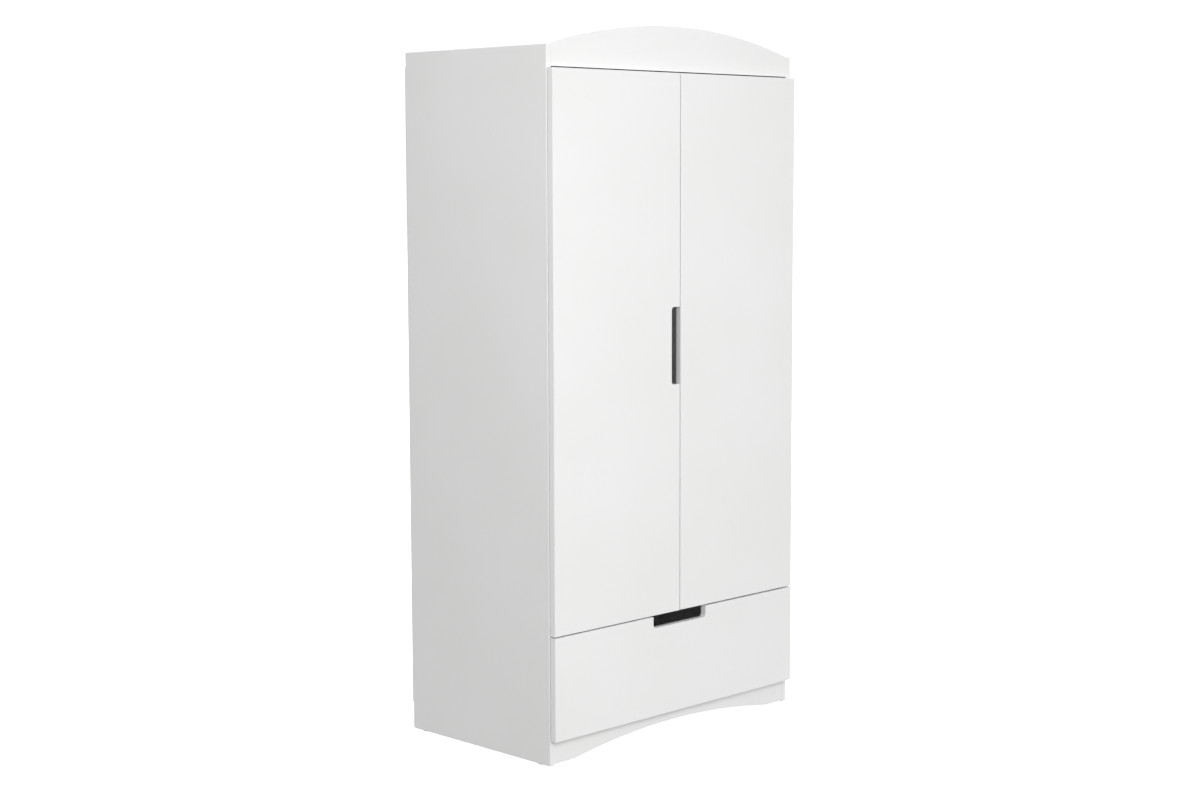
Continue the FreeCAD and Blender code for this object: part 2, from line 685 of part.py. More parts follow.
def hinge_arm(name, z):
    """A channel over the plate's rib, whose two cheeks carry the link's pin in front."""
    length = "(dims.arm_rear - dims.arm_front)"
    low = f"{z} - dims.arm_half"
    shell = box(f"{name}_shell", (at_u(f"{plate_top} + dims.slack"), at_v("dims.arm_front"), low),
                (f"{arm_top} - {plate_top} - dims.slack", length, "2 * dims.arm_half"))
    inside = "(2 * (dims.arm_half - dims.arm_gauge))"
    floor = f"{low} + dims.arm_gauge"
    hollow = box(f"{name}_hollow", (at_u(plate_top), at_v("(dims.arm_front - dims.plate_rib_lead)"), floor),
                 (f"{arm_top} - {plate_top} - dims.arm_gauge", f"{length} + dims.plate_rib_lead + 1", inside))
    eye_left = "(dims.arm_pivot_u - dims.arm_eye_radius)"
    snout = box(f"{name}_snout", (at_u(eye_left), at_v("dims.arm_pivot_v"), low),
                ("2 * dims.arm_eye_radius", "dims.arm_front - dims.arm_pivot_v + 2 * dims.arm_gauge",
                 "2 * dims.arm_half"))
    pivot = (at_u("dims.arm_pivot_u"), at_v("dims.arm_pivot_v"), low)
    eye = rod(f"{name}_eye", "+z", pivot, "dims.arm_eye_radius", "2 * dims.arm_half")
    mouth_front = at_v("(dims.arm_pivot_v - dims.arm_eye_radius - 1)")
    mouth_size = "(2 * dims.arm_eye_radius + 2)"
    mouth_corner = (at_u(f"{eye_left} - 1"), mouth_front, floor)
    mouth = box(f"{name}_mouth", mouth_corner, (mouth_size, mouth_size, inside))
    pin_hole = rod(f"{name}_pin_hole", "+z", shifted(pivot, "-z", 1), "dims.hinge_pin_radius + dims.slack",
                   "2 * dims.arm_half + 2")
    pin = rod(f"{name}_pin", "+z", pivot, "dims.hinge_pin_radius", "2 * dims.arm_half")
    holes = []
    depth = "(dims.arm_height - dims.plate_gauge - dims.arm_screw_relief)"
    for side, offset in (("front", "- dims.arm_screw_fore"), ("rear", "+ dims.arm_screw_aft")):
        seat = (at_u(arm_top), at_v(f"(dims.plate_setback {offset})"), z)
        arm_screws.append(screw(f"{name}_screw_{side}", "-x", seat, depth))
        holes.append(bore(f"{name}_screw_hole_{side}", "-x", seat, "dims.screw_radius", depth))
    body = fuse(f"{name}_body", [shell, snout, eye])
    tools = fuse(f"{name}_tools", [hollow, mouth, pin_hole] + holes)
    arms.append(cut(f"{name}_arm", body, tools))
    arms.append(pin)
    return holes


def hinge_cup(name, z):
    """A round cup sunk in the door's back, with an ear on each side for its screws."""
    rim_v = "(-dims.door_standoff + dims.cup_rim)"
    floor_v = "(dims.cup_depth + dims.cup_rim)"
    centre = (at_u(cup_centre), at_v(rim_v), z)
    skin = rod(f"{name}_skin", "-y", centre, "dims.cup_radius", floor_v)
    rim = rod(f"{name}_rim", "-y", centre, "dims.cup_radius + dims.cup_rim", "dims.cup_rim")
    ears = box(f"{name}_ears", (at_u(cup_centre), at_v("-dims.door_standoff"), f"{z} - dims.cup_ear_half"),
               ("dims.cup_screw_offset + dims.cup_ear_margin", "dims.cup_rim", "2 * dims.cup_ear_half"))
    hollow = rod(f"{name}_hollow", "-y", shifted(centre, "+y", 1), "dims.cup_radius - dims.cup_wall",
                 f"{floor_v} + 1 - dims.cup_wall")
    holes = []
    screw_x = at_u(f"{cup_centre} + dims.cup_screw_offset")
    for side, sign in (("upper", "+"), ("lower", "-")):
        seat = (screw_x, at_v(rim_v), f"({z} {sign} dims.cup_screw_half)")
        cup_screws.append(screw(f"{name}_screw_{side}", "-y", seat, "dims.cup_depth"))
        holes.append(bore(f"{name}_screw_hole_{side}", "-y", seat, "dims.screw_radius", "dims.cup_depth"))
    pocket_centre = (at_u(cup_centre), DOOR_BACK, z)
    pocket = bore(f"{name}_pocket", "-y", pocket_centre, "dims.cup_radius", "dims.cup_depth")
    door_holes.extend([pocket] + holes)
    blank = fuse(f"{name}_blank", [skin, rim, ears])
    cups.append(cut(f"{name}_cup", blank, fuse(f"{name}_tools", [hollow] + holes)))


def hinge_link(name, z):
    """A strip from the arm's pin into the cup; it is straight, with an eye round the pin."""
    run_u = "(dims.link_end_u - dims.arm_pivot_u)"
    run_v = "(dims.link_end_v - dims.arm_pivot_v)"
    low = f"({z} - dims.link_half)"
    slope = f"atan2({run_v}; {run_u})"
    pivot = (at_u("dims.arm_pivot_u"), at_v("dims.arm_pivot_v"), low)
    strip = doc.addObject("Part::Box", f"{name}_strip")
    strip.setExpression("Length", f"sqrt({run_u}^2 + {run_v}^2)")
    strip.setExpression("Width", "dims.link_gauge")
    strip.setExpression("Height", "2 * dims.link_half")
    strip.setExpression("Placement.Rotation.Angle", slope)
    place(strip, f"{pivot[0]} + dims.link_gauge / 2 * sin({slope})",
          f"{pivot[1]} - dims.link_gauge / 2 * cos({slope})", low)
    eye = rod(f"{name}_eye", "+z", pivot, "dims.link_eye_radius", "2 * dims.link_half")
    tip_start = (at_u("dims.link_end_u"), at_v("dims.link_end_v"), low)
    tip = rod(f"{name}_tip", "+z", tip_start, "dims.link_gauge / 2", "2 * dims.link_half")
    hole = rod(f"{name}_hole", "+z", shifted(pivot, "-z", 1), "dims.hinge_pin_radius + dims.slack",
               "2 * dims.link_half + 2")
    links.append(cut(f"{name}_link", fuse(f"{name}_blank", [strip, eye, tip]), hole))


for index, level in enumerate(hinge_levels, start=1):
    cross, cross_holes = hinge_plate(f"plate{index}", level)
    arm_holes = hinge_arm(f"arm{index}", level)
    plates.append(cut(f"plate{index}", cross, group(f"plate{index}_holes", cross_holes + arm_holes)))
    hinge_cup(f"cup{index}", level)
    hinge_link(f"link{index}", level)

hinge_plates_left = group("hinge_plates_left", plates)
hinge_arms_left = group("hinge_arms_left", arms)
hinge_cups_left = group("hinge_cups_left", cups)
cup_screws_left = group("cup_screws_left", cup_screws)
hinge_links_left = group("hinge_links_left", links)
hinge_plate_screws = both_sides("hinge_plate_screws", plate_screws)
hinge_arm_screws = both_sides("hinge_arm_screws", arm_screws)

# ---------------------------------------------------------------------------------------------------------
# Doors.  The left one has the finger notch in its free edge.

door_cut_tool = group("door_cut_tool", door_holes)
free_edge = "(-dims.front_gap / 2)"
notch_side = f"({free_edge} - dims.notch_depth)"
notch_low = f"({DOOR_MIDDLE} - dims.notch_length / 2)"
notch_high = f"({DOOR_MIDDLE} + dims.notch_length / 2)"
left_corners = [
    (FRONT_EDGE, DOOR_BOTTOM),
    (free_edge, DOOR_BOTTOM),
    (free_edge, notch_low),
    (notch_side, notch_low),
    (notch_side, notch_high),
    (free_edge, notch_high),
    (free_edge, DOOR_TOP),
    (FRONT_EDGE, DOOR_TOP),
]
left_blank = upright_board("door_left_blank", left_corners, "dims.door_thickness", DOOR_BACK)
round_corners(left_blank, left_corners[3:5], "dims.notch_corner")
round_corners(left_blank, [left_corners[2], left_corners[5]], "dims.notch_lip")
door_left = cut("door_left", left_blank, door_cut_tool)

right_corners = [
    (f"-{free_edge}", DOOR_BOTTOM),
    (f"-{FRONT_EDGE}", DOOR_BOTTOM),
    (f"-{FRONT_EDGE}", DOOR_TOP),
    (f"-{free_edge}", DOOR_TOP),
]
right_blank = upright_board("door_right_blank", right_corners, "dims.door_thickness", DOOR_BACK)
door_right = cut("door_right", right_blank, mirror("door_cut_tool_right", door_cut_tool))

bumpers = []
bumper_z = f"({DOOR_BOTTOM} + dims.bumper_edge + dims.bumper_radius)"
for name, x in (("free", f"({free_edge} - dims.bumper_inset)"), ("hinge", f"({INNER} + dims.bumper_inset)")):
    seat = (x, DOOR_BACK, bumper_z)
    bumpers.append(rod(f"bumper_{name}", "+y", seat, "dims.bumper_radius", "dims.bumper_height"))
door_bumpers_left = group("door_bumpers_left", bumpers)

# ---------------------------------------------------------------------------------------------------------
# Runners: outer profile on the side panel, middle profile, inner profile on the drawer, two ball cages each


def channel(label, web, reach, half, gauge, front, length):
    """A C profile along Y, its web at one distance from the side panel and its flanges ending at another."""
    inside = f"({web} + {gauge})"
    if number(reach) < number(web):
        inside = f"({web} - {gauge})"
    corners = [
        (f"({INNER} + {web})", f"({RUNNER_LEVEL} - {half})"),
        (f"({INNER} + {reach})", f"({RUNNER_LEVEL} - {half})"),
        (f"({INNER} + {reach})", f"({RUNNER_LEVEL} - {half} + {gauge})"),
        (f"({INNER} + {inside})", f"({RUNNER_LEVEL} - {half} + {gauge})"),
        (f"({INNER} + {inside})", f"({RUNNER_LEVEL} + {half} - {gauge})"),
        (f"({INNER} + {reach})", f"({RUNNER_LEVEL} + {half} - {gauge})"),
        (f"({INNER} + {reach})", f"({RUNNER_LEVEL} + {half})"),
        (f"({INNER} + {web})", f"({RUNNER_LEVEL} + {half})"),
    ]
    return upright_board(label, corners, length, f"({front} + {length})")


def runner_screw_set(label, axis, seat_x, fixings, length):
    """Countersunk screws that hold a profile: their heads fill holes in its web."""
    screws = []
    web_holes = []
    board_holes = []
    for index, y in enumerate(fixings):
        seat = (seat_x, y, RUNNER_LEVEL)
        screws.append(screw(f"{label}_screw_{index}", axis, seat, length, "dims.runner_gauge"))
        back = {"+": "-", "-": "+"}[axis[0]] + axis[1]
        web_holes.append(rod(f"{label}_web_hole_{index}", back, seat, "dims.screw_head_radius + dims.slack",
                             "dims.runner_gauge"))
        board_holes.append(bore(f"{label}_board_hole_{index}", axis, seat, "dims.screw_radius", length))
    return screws, web_holes, board_holes


runner_fixings = [
    f"({RUNNER_FRONT} + dims.runner_fixing)",
    f"({RUNNER_FRONT} + dims.runner_length / 2)",
    f"({RUNNER_REAR} - dims.runner_fixing)",
]
outer_set = runner_screw_set("outer", "-x", INNER, runner_fixings, "dims.screw_grip")
outer_screws, outer_web_holes, outer_board_holes = outer_set
inner_set = runner_screw_set("inner", "+x", DRAWER_OUTER, runner_fixings, "(dims.drawer_board - 4)")
inner_screws, inner_web_holes, inner_board_holes = inner_set
side_holes += outer_board_holes
outer_blank = channel("runner_outer_blank", "0", "dims.outer_reach", "dims.outer_half", "dims.runner_gauge",
                      RUNNER_FRONT, "dims.runner_length")
runner_outer_left = cut("runner_outer_left", outer_blank, group("outer_web_holes", outer_web_holes))
runner_middle_left = channel("runner_middle_left", "dims.middle_start", "dims.middle_reach",
                             "dims.middle_half", "dims.runner_gauge", RUNNER_FRONT, "dims.runner_length")
inner_blank = channel("runner_inner_blank", "dims.runner_gap", "dims.inner_start", "dims.inner_half",
                      "dims.runner_gauge", RUNNER_FRONT, "dims.runner_length")
runner_inner_left = cut("runner_inner_left", inner_blank, group("inner_web_holes", inner_web_holes))
runner_screws = both_sides("runner_screws", outer_screws)


def ball_cage(label, start, low, high):
    """A thin C strip with balls that roll between two profiles' flanges, low and high from the axis."""
    track = f"(({low} + {high}) / 2)"
    ball_radius = f"(({high} - {low}) / 2 - dims.ball_clearance)"
    front = f"(({RUNNER_FRONT} + {RUNNER_REAR} - dims.cage_length) / 2)"
    strip = channel(f"{label}_strip", start, "dims.cage_reach", f"({track} + dims.cage_gauge / 2)",
                    "dims.cage_gauge", front, "dims.cage_length")
    ball_x = f"({INNER} + ({start} + dims.cage_reach) / 2 + 1)"
    balls = []
    holes = []
    for side, sign in (("upper", "+"), ("lower", "-")):
        for index in range(BALLS_PER_ROW):
            y = f"({front} + dims.cage_length / 2 + ({index} - ({BALLS_PER_ROW} - 1) / 2) * dims.ball_pitch)"
            centre = (ball_x, y, f"({RUNNER_LEVEL} {sign} {track})")
            balls.append(ball(f"{label}_ball_{side}_{index}", centre, ball_radius))
            holes.append(rod(f"{label}_hole_{side}_{index}", "+z", shifted(centre, "-z", 2),
                             f"{ball_radius} + dims.slack", 4))
    return group(label, [cut(f"{label}_holed", strip, group(f"{label}_holes", holes))] + balls)


cage_outer_left = ball_cage("cage_outer_left", "dims.outer_cage_start", "dims.middle_half",
                            "(dims.outer_half - dims.runner_gauge)")
cage_inner_left = ball_cage("cage_inner_left", "dims.inner_cage_start", "dims.inner_half",
                            "(dims.middle_half - dims.runner_gauge)")

# ---------------------------------------------------------------------------------------------------------
# Drawer.  Its front has the finger notch in its top edge.

notch_left = "(-dims.notch_length / 2)"
notch_right = "(dims.notch_length / 2)"
notch_floor = f"({DRAWER_FRONT_TOP} - dims.notch_depth)"
front_corners = [
    (FRONT_EDGE, DRAWER_FRONT_BOTTOM),
    (f"-{FRONT_EDGE}", DRAWER_FRONT_BOTTOM),
    (f"-{FRONT_EDGE}", DRAWER_FRONT_TOP),
    (notch_right, DRAWER_FRONT_TOP),
    (notch_right, notch_floor),
    (notch_left, notch_floor),
    (notch_left, DRAWER_FRONT_TOP),
    (FRONT_EDGE, DRAWER_FRONT_TOP),
]
front_blank = upright_board("drawer_front_blank", front_corners, "dims.door_thickness", DOOR_BACK)
round_corners(front_blank, front_corners[4:6], "dims.notch_corner")
round_corners(front_blank, [front_corners[3], front_corners[6]], "dims.notch_lip")

bottom_level = f"({DRAWER_BOTTOM} + dims.drawer_bottom_rise)"
groove_level = f"({bottom_level} - dims.groove_slack)"
groove_height = "(dims.drawer_bottom_gauge + 2 * dims.groove_slack)"
groove_left = f"({DRAWER_INNER} - dims.groove_depth)"
groove_width = f"(-2 * {groove_left})"
front_groove = box("front_groove", (groove_left, f"{DOOR_BACK} - dims.groove_depth", groove_level),
                   (groove_width, "dims.groove_depth + 1", groove_height))
side_groove = box("side_groove", (groove_left, f"{DOOR_BACK} - 1", groove_level),
                  ("dims.groove_depth + 1", "dims.drawer_length + 2", groove_height))
in_groove = "(dims.groove_depth - dims.hole_extra)"
bottom_corner = (f"{DRAWER_INNER} - {in_groove}", f"{DOOR_BACK} - {in_groove}", bottom_level)
bottom_size = (f"{groove_width} - 2 * dims.hole_extra", f"dims.drawer_length + {in_groove}",
               "dims.drawer_bottom_gauge")
drawer_bottom_blank = box("drawer_bottom_blank", bottom_corner, bottom_size)

drawer_cams = []
drawer_bolts = []
drawer_screws = list(inner_screws)
drawer_side_holes = [side_groove] + inner_board_holes
drawer_front_holes = []


def drawer_joint(label, z):
    """A cam in the drawer side's inner face and its bolt, which is screwed into the drawer front."""
    cam_y = f"({DOOR_BACK} + dims.cam_distance)"
    middle_x = f"({DRAWER_OUTER} + dims.drawer_board / 2)"
    start = (DRAWER_INNER, cam_y, z)
    disc = rod(f"{label}_disc", "-x", start, "dims.cam_radius", "dims.cam_height")
    throat = "(dims.bolt_head_radius + dims.slack)"
    slot_corner = (f"{middle_x} - {throat}", f"{cam_y} - dims.cam_radius - 1", f"{z} - {throat}")
    slot = box(f"{label}_slot", slot_corner,
               (f"2 * {throat}", f"dims.cam_radius + 1 + {throat}", f"2 * {throat}"))
    drawer_cams.append(cut(f"{label}_cam", disc, slot))
    face = (middle_x, DOOR_BACK, z)
    thread = rod(f"{label}_thread", "-y", face, "dims.bolt_thread_radius", "dims.bolt_thread")
    shank = rod(f"{label}_shank", "+y", face, "dims.bolt_radius",
                "(dims.cam_distance - dims.cam_radius - dims.hole_extra)")
    head = rod(f"{label}_head", "+y", face, "dims.bolt_head_radius", "dims.cam_distance")
    drawer_bolts.append(fuse(f"{label}_bolt", [thread, shank, head]))
    drawer_front_holes.append(bore(f"{label}_thread_hole", "-y", face, "dims.bolt_thread_radius",
                                   "dims.bolt_thread"))
    drawer_side_holes.append(bore(f"{label}_pocket", "-x", start, "dims.cam_radius", "dims.cam_height"))
    drawer_side_holes.append(rod(f"{label}_passage", "+y", face, "dims.bolt_radius + dims.slack",
                                 "dims.cam_distance"))


fixing_levels = {
    "low": f"({DRAWER_BOTTOM} + dims.drawer_fixing)",
    "high": f"({DRAWER_BOTTOM} + dims.drawer_height - dims.drawer_fixing)",
}
for name, level in fixing_levels.items():
    drawer_joint(f"drawer_{name}", level)

back_front = f"({DRAWER_REAR} - dims.drawer_board)"
back_low = f"({bottom_level} + dims.drawer_bottom_gauge + dims.groove_slack)"
drawer_back_blank = box("drawer_back_blank", (DRAWER_INNER, back_front, back_low),
                        (f"{groove_width} - 2 * dims.groove_depth", "dims.drawer_board",
                         f"{DRAWER_BOTTOM} + dims.drawer_height - {back_low}"))
back_middle = f"({back_front} + dims.drawer_board / 2)"
corner_holes = []
corner_length = "(dims.drawer_board + dims.corner_screw_grip)"
head_room = "(dims.screw_head + dims.slack)"
for name, level in fixing_levels.items():
    seat = (f"({DRAWER_OUTER} + {head_room})", back_middle, level)
    drawer_screws.append(screw(f"corner_screw_{name}", "+x", seat, corner_length))
    corner_holes.append(bore(f"corner_hole_{name}", "+x", seat, "dims.screw_radius", corner_length))
    drawer_side_holes.append(rod(f"corner_sink_{name}", "-x", seat, "dims.screw_head_radius + dims.slack",
                                 f"{head_room} + 1"))
bottom_holes = []
bottom_length = "(dims.drawer_bottom_gauge + dims.screw_grip)"
for index, share in enumerate((0.25, 0.85)):
    seat = (f"({DRAWER_INNER} * {share})", back_middle, bottom_level)
    drawer_screws.append(screw(f"bottom_screw_{index}", "+z", seat, bottom_length))
    bottom_holes.append(bore(f"bottom_hole_{index}", "+z", seat, "dims.screw_radius", bottom_length))

grooved_front = cut("drawer_front_grooved", front_blank, front_groove)
drawer_front = drilled("drawer_front", grooved_front, drawer_front_holes)
drawer_side_blank = box("drawer_side_blank", (DRAWER_OUTER, DOOR_BACK, DRAWER_BOTTOM),
                        ("dims.drawer_board", "dims.drawer_length", "dims.drawer_height"))
drawer_side_left = cut("drawer_side_left", drawer_side_blank,
                       fuse("drawer_side_holes", drawer_side_holes + corner_holes))
drawer_back = drilled("drawer_back", drawer_back_blank, corner_holes + bottom_holes)
drawer_bottom = drilled("drawer_bottom", drawer_bottom_blank, bottom_holes)

# ---------------------------------------------------------------------------------------------------------
# Base panel, back panels and their strip, side panels and glides

base_panel = drilled("base_panel", base_blank, base_holes + base_nails)

seam_half = "(dims.back_seam / 2)"
back_blank = box("back_blank", (FRONT_EDGE, CARCASS_REAR, BACK_BOTTOM),
                 (f"-{FRONT_EDGE} - {seam_half}", "dims.back_thickness", BACK_HEIGHT))
all_nail_holes = side_nails + top_nails + floor_nails + base_nails
back_panel_left = cut("back_panel_left", back_blank, group("all_nail_holes", all_nail_holes))
back_panel_right = mirror("back_panel_right", back_panel_left)
back_nails = both_sides("back_nails", nails)

strip_web = box("strip_web", (f"-{seam_half} + dims.slack", f"{CARCASS_REAR} + dims.slack", BACK_BOTTOM),
                ("2 * (dims.back_seam / 2 - dims.slack)", "dims.back_thickness", BACK_HEIGHT))
strip_cap = box("strip_cap", ("-dims.strip_flange", f"{CARCASS_REAR} + dims.back_thickness", BACK_BOTTOM),
                ("2 * dims.strip_flange", "dims.strip_gauge", BACK_HEIGHT))
back_joint_strip = fuse("back_joint_strip", [strip_web, strip_cap])

glides = []
glide_holes = []
glide_rows = {
    "fore": f"({CARCASS_FRONT} + dims.glide_setback)",
    "aft": f"({CARCASS_REAR} - dims.glide_setback)",
}
for name, y in glide_rows.items():
    pad = rod(f"glide_pad_{name}", "+z", (SIDE_MID, y, 0), "dims.glide_radius", "dims.glide_height")
    seat = (SIDE_MID, y, "dims.glide_height")
    pin = rod(f"glide_pin_{name}", "+z", seat, "dims.glide_pin_radius", "dims.glide_pin_length")
    glide_holes.append(bore(f"glide_hole_{name}", "+z", seat, "dims.glide_pin_radius",
                            "dims.glide_pin_length"))
    glides.append(fuse(f"glide_{name}", [pad, pin]))
floor_glides = both_sides("floor_glides", glides)

side_blank = box("side_blank", (SIDE_FACE, CARCASS_FRONT, "dims.glide_height"),
                 ("dims.board", CARCASS_DEPTH, "dims.side_height"))
side_tool = group("side_holes", side_holes + side_nails + glide_holes)
side_panel_left = cut("side_panel_left", side_blank, side_tool)

# ---------------------------------------------------------------------------------------------------------
# Every sub-part, by the name of its node

side_panel_right = mirror("side_panel_right", side_panel_left)
cam_locks = both_sides("cam_locks", cams)
cam_bolts_all = both_sides("cam_bolts", cam_bolts)
dowels_all = both_sides("dowels", dowels)
hinge_plates_right = mirror("hinge_plates_right", hinge_plates_left)
hinge_arms_right = mirror("hinge_arms_right", hinge_arms_left)
hinge_cups_right = mirror("hinge_cups_right", hinge_cups_left)
cup_screws_right = mirror("cup_screws_right", cup_screws_left)
hinge_links_right = mirror("hinge_links_right", hinge_links_left)
door_bumpers_right = mirror("door_bumpers_right", door_bumpers_left)
runner_outer_right = mirror("runner_outer_right", runner_outer_left)
runner_middle_right = mirror("runner_middle_right", runner_middle_left)
runner_inner_right = mirror("runner_inner_right", runner_inner_left)
cage_outer_right = mirror("cage_outer_right", cage_outer_left)
cage_inner_right = mirror("cage_inner_right", cage_inner_left)
drawer_side_right = mirror("drawer_side_right", drawer_side_left)
drawer_cam_locks = both_sides("drawer_cam_locks", drawer_cams)
drawer_cam_bolts = both_sides("drawer_cam_bolts", drawer_bolts)
drawer_screws_all = both_sides("drawer_screws", drawer_screws)

SUB_PARTS = [
    side_panel_left, side_panel_right, top_panel, crown_board, compartment_floor, base_panel, plinth_board,
    rear_plinth_rail, back_panel_left, back_panel_right, back_joint_strip, back_nails, floor_glides,
    cam_locks, cam_bolts_all, dowels_all, wall_brackets, wall_bracket_screws,
    upper_shelf, shelf_pins, hanging_rail, rail_flange_left, rail_flange_right, rail_screws,
    hinge_plates_left, hinge_plates_right, hinge_plate_screws, hinge_arms_left, hinge_arms_right,
    hinge_arm_screws, hinge_links_left, hinge_links_right,
    door_left, hinge_cups_left, cup_screws_left, door_bumpers_left,
    door_right, hinge_cups_right, cup_screws_right, door_bumpers_right,
    drawer_front, drawer_side_left, drawer_side_right, drawer_back, drawer_bottom,
    drawer_cam_locks, drawer_cam_bolts, drawer_screws_all,
    runner_outer_left, runner_outer_right, runner_screws, runner_middle_left, runner_middle_right,
    runner_inner_left, runner_inner_right,
    cage_outer_left, cage_outer_right, cage_inner_left, cage_inner_right,
]

doc.recompute()
for item in doc.Objects:
    if "Invalid" in item.State or "Error" in item.State:
        raise RuntimeError(f"{item.Label} did not recompute: {item.State}")
for item in SUB_PARTS:
    if item.Shape.isNull() or not item.Shape.isValid():
        raise RuntimeError(f"{item.Label} has no valid shape")

os.makedirs("parts", exist_ok=True)
for item in SUB_PARTS:
    item.Shape.exportStep(f"parts/{item.Label}.step")
    print(f"{item.Label}: {len(item.Shape.Solids)} solids, {item.Shape.Volume / 1000:.1f} cm3")
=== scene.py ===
# %% [markdown]
# # A white wardrobe with two doors and a drawer
# The CAD model already holds every board and fitting at its true size and in its true place. This
# notebook gives it the look of the real thing. Boards get eased edges, fittings get the recesses and
# rims that a machine leaves, and each finish becomes a small node material. Everything stays in metres
# in the CAD model's own frame, so each new piece goes where the CAD piece was.

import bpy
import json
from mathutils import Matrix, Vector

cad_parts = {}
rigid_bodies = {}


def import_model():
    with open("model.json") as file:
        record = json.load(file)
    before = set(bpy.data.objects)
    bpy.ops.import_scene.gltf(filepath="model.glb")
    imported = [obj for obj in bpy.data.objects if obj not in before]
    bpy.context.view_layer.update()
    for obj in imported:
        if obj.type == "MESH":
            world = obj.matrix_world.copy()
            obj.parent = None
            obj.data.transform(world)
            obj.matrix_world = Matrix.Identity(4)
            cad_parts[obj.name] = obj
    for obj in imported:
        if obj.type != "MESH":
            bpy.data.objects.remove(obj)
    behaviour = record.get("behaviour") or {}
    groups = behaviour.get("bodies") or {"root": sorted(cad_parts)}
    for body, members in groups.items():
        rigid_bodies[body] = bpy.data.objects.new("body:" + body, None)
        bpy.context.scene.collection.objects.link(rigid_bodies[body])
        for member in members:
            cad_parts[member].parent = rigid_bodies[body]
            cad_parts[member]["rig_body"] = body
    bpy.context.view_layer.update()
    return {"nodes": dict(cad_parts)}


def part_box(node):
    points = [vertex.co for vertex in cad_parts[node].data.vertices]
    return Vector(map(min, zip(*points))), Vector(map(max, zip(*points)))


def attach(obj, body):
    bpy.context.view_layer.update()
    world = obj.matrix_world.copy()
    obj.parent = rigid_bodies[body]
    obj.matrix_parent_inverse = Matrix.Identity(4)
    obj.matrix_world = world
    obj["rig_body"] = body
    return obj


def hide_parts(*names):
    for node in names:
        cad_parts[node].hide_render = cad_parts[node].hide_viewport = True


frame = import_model()

# %% Modules
import json
from math import atan2, cos, pi, radians, sin

import bmesh
import bpy
from mathutils import Matrix, Vector

MM = 0.001
BODY_OF = {node: piece["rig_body"] for node, piece in frame["nodes"].items()}
print(len(BODY_OF), "CAD nodes")

# %% [markdown]
# ## The tools of a finish
# A finish is one Principled shader whose colour, roughness and bump come from a few noise patterns.
# Image textures would need a picture for every board, and they blur close up. Noise that is read in
# metres keeps its grain at the real size on every piece, so that is what these helpers make.

# %% Start a material
def new_finish(name):
    """A node material, with its node tree and its Principled shader."""
    finish = bpy.data.materials.new(name)
    finish.use_nodes = True
    return finish, finish.node_tree, finish.node_tree.nodes["Principled BSDF"]


def metres(tree, stretch=(1, 1, 1)):
    """Object coordinates in metres, squeezed along the directions where a grain is to run long."""
    where = tree.nodes.new("ShaderNodeTexCoord")
    mapping = tree.nodes.new("ShaderNodeMapping")
    mapping.inputs["Scale"].default_value = stretch
    tree.links.new(where.outputs["Object"], mapping.inputs["Vector"])
    return mapping.outputs["Vector"]


# %% Noise, and what it drives
def cloud(tree, where, per_metre, detail=3.0, roughness=0.5):
    """Soft noise with this many features to the metre, from 0 to 1 around a half."""
    noise = tree.nodes.new("ShaderNodeTexNoise")
    noise.inputs["Scale"].default_value = per_metre
    noise.inputs["Detail"].default_value = detail
    noise.inputs["Roughness"].default_value = roughness
    tree.links.new(where, noise.inputs["Vector"])
    return noise.outputs["Fac"]


def spread(tree, value, low, high, start=0.3, end=0.7):
    """Stretches the middle of a noise over a wanted range."""
    scale = tree.nodes.new("ShaderNodeMapRange")
    for name, number in zip(("From Min", "From Max", "To Min", "To Max"), (start, end, low, high)):
        scale.inputs[name].default_value = number
    tree.links.new(value, scale.inputs["Value"])
    return scale.outputs["Result"]


def tint(tree, share, first, second):
    """A colour between two, by a share from 0 to 1. Either one may be another node's colour."""
    mix = tree.nodes.new("ShaderNodeMix")
    mix.data_type = "RGBA"
    tree.links.new(share, mix.inputs["Factor"])
    for socket, colour in ((mix.inputs[6], first), (mix.inputs[7], second)):
        if isinstance(colour, tuple):
            socket.default_value = (*colour, 1)
        else:
            tree.links.new(colour, socket)
    return mix.outputs[2]


def relief(tree, shader, *layers):
    """Bumps one on another: each layer is a height pattern and its depth in metres."""
    normal = None
    for height, depth in layers:
        bump = tree.nodes.new("ShaderNodeBump")
        bump.inputs["Strength"].default_value = 1.0
        bump.inputs["Distance"].default_value = depth
        tree.links.new(height, bump.inputs["Height"])
        if normal is not None:
            tree.links.new(normal, bump.inputs["Normal"])
        normal = bump.outputs["Normal"]
    tree.links.new(normal, shader.inputs["Normal"])


# %% [markdown]
# ## White lacquer
# The sides, doors, drawer front, crown and plinth are sprayed with satin lacquer. Sprayed lacquer is never
# quite even: it lies in a faint orange peel a couple of millimetres across, its sheen drifts over a
# hand's width, and the white is a shade warmer where it went on thicker. Three noises do that, each
# so weak that the board still reads as plain white.

# %% Lacquer
def white_lacquer(name, thick, thin):
    """Satin lacquer, with its white where it lies thick and where it lies thin."""
    finish, tree, shader = new_finish(name)
    here = metres(tree)
    drift = cloud(tree, here, 2.5, detail=2)
    tree.links.new(tint(tree, spread(tree, drift, 0, 1), thick, thin), shader.inputs["Base Color"])
    sheen = cloud(tree, here, 9, detail=5)
    tree.links.new(spread(tree, sheen, 0.36, 0.46), shader.inputs["Roughness"])
    peel = cloud(tree, here, 420, detail=1.5)
    sag = cloud(tree, here, 30, detail=2)
    relief(tree, shader, (sag, 0.00012), (peel, 0.000012))
    shader.inputs["IOR"].default_value = 1.48
    shader.inputs["Coat Weight"].default_value = 0.12
    shader.inputs["Coat Roughness"].default_value = 0.28
    return finish


LACQUER = white_lacquer("white_lacquer", (0.800, 0.798, 0.792), (0.825, 0.825, 0.822))
print("made", LACQUER.name)

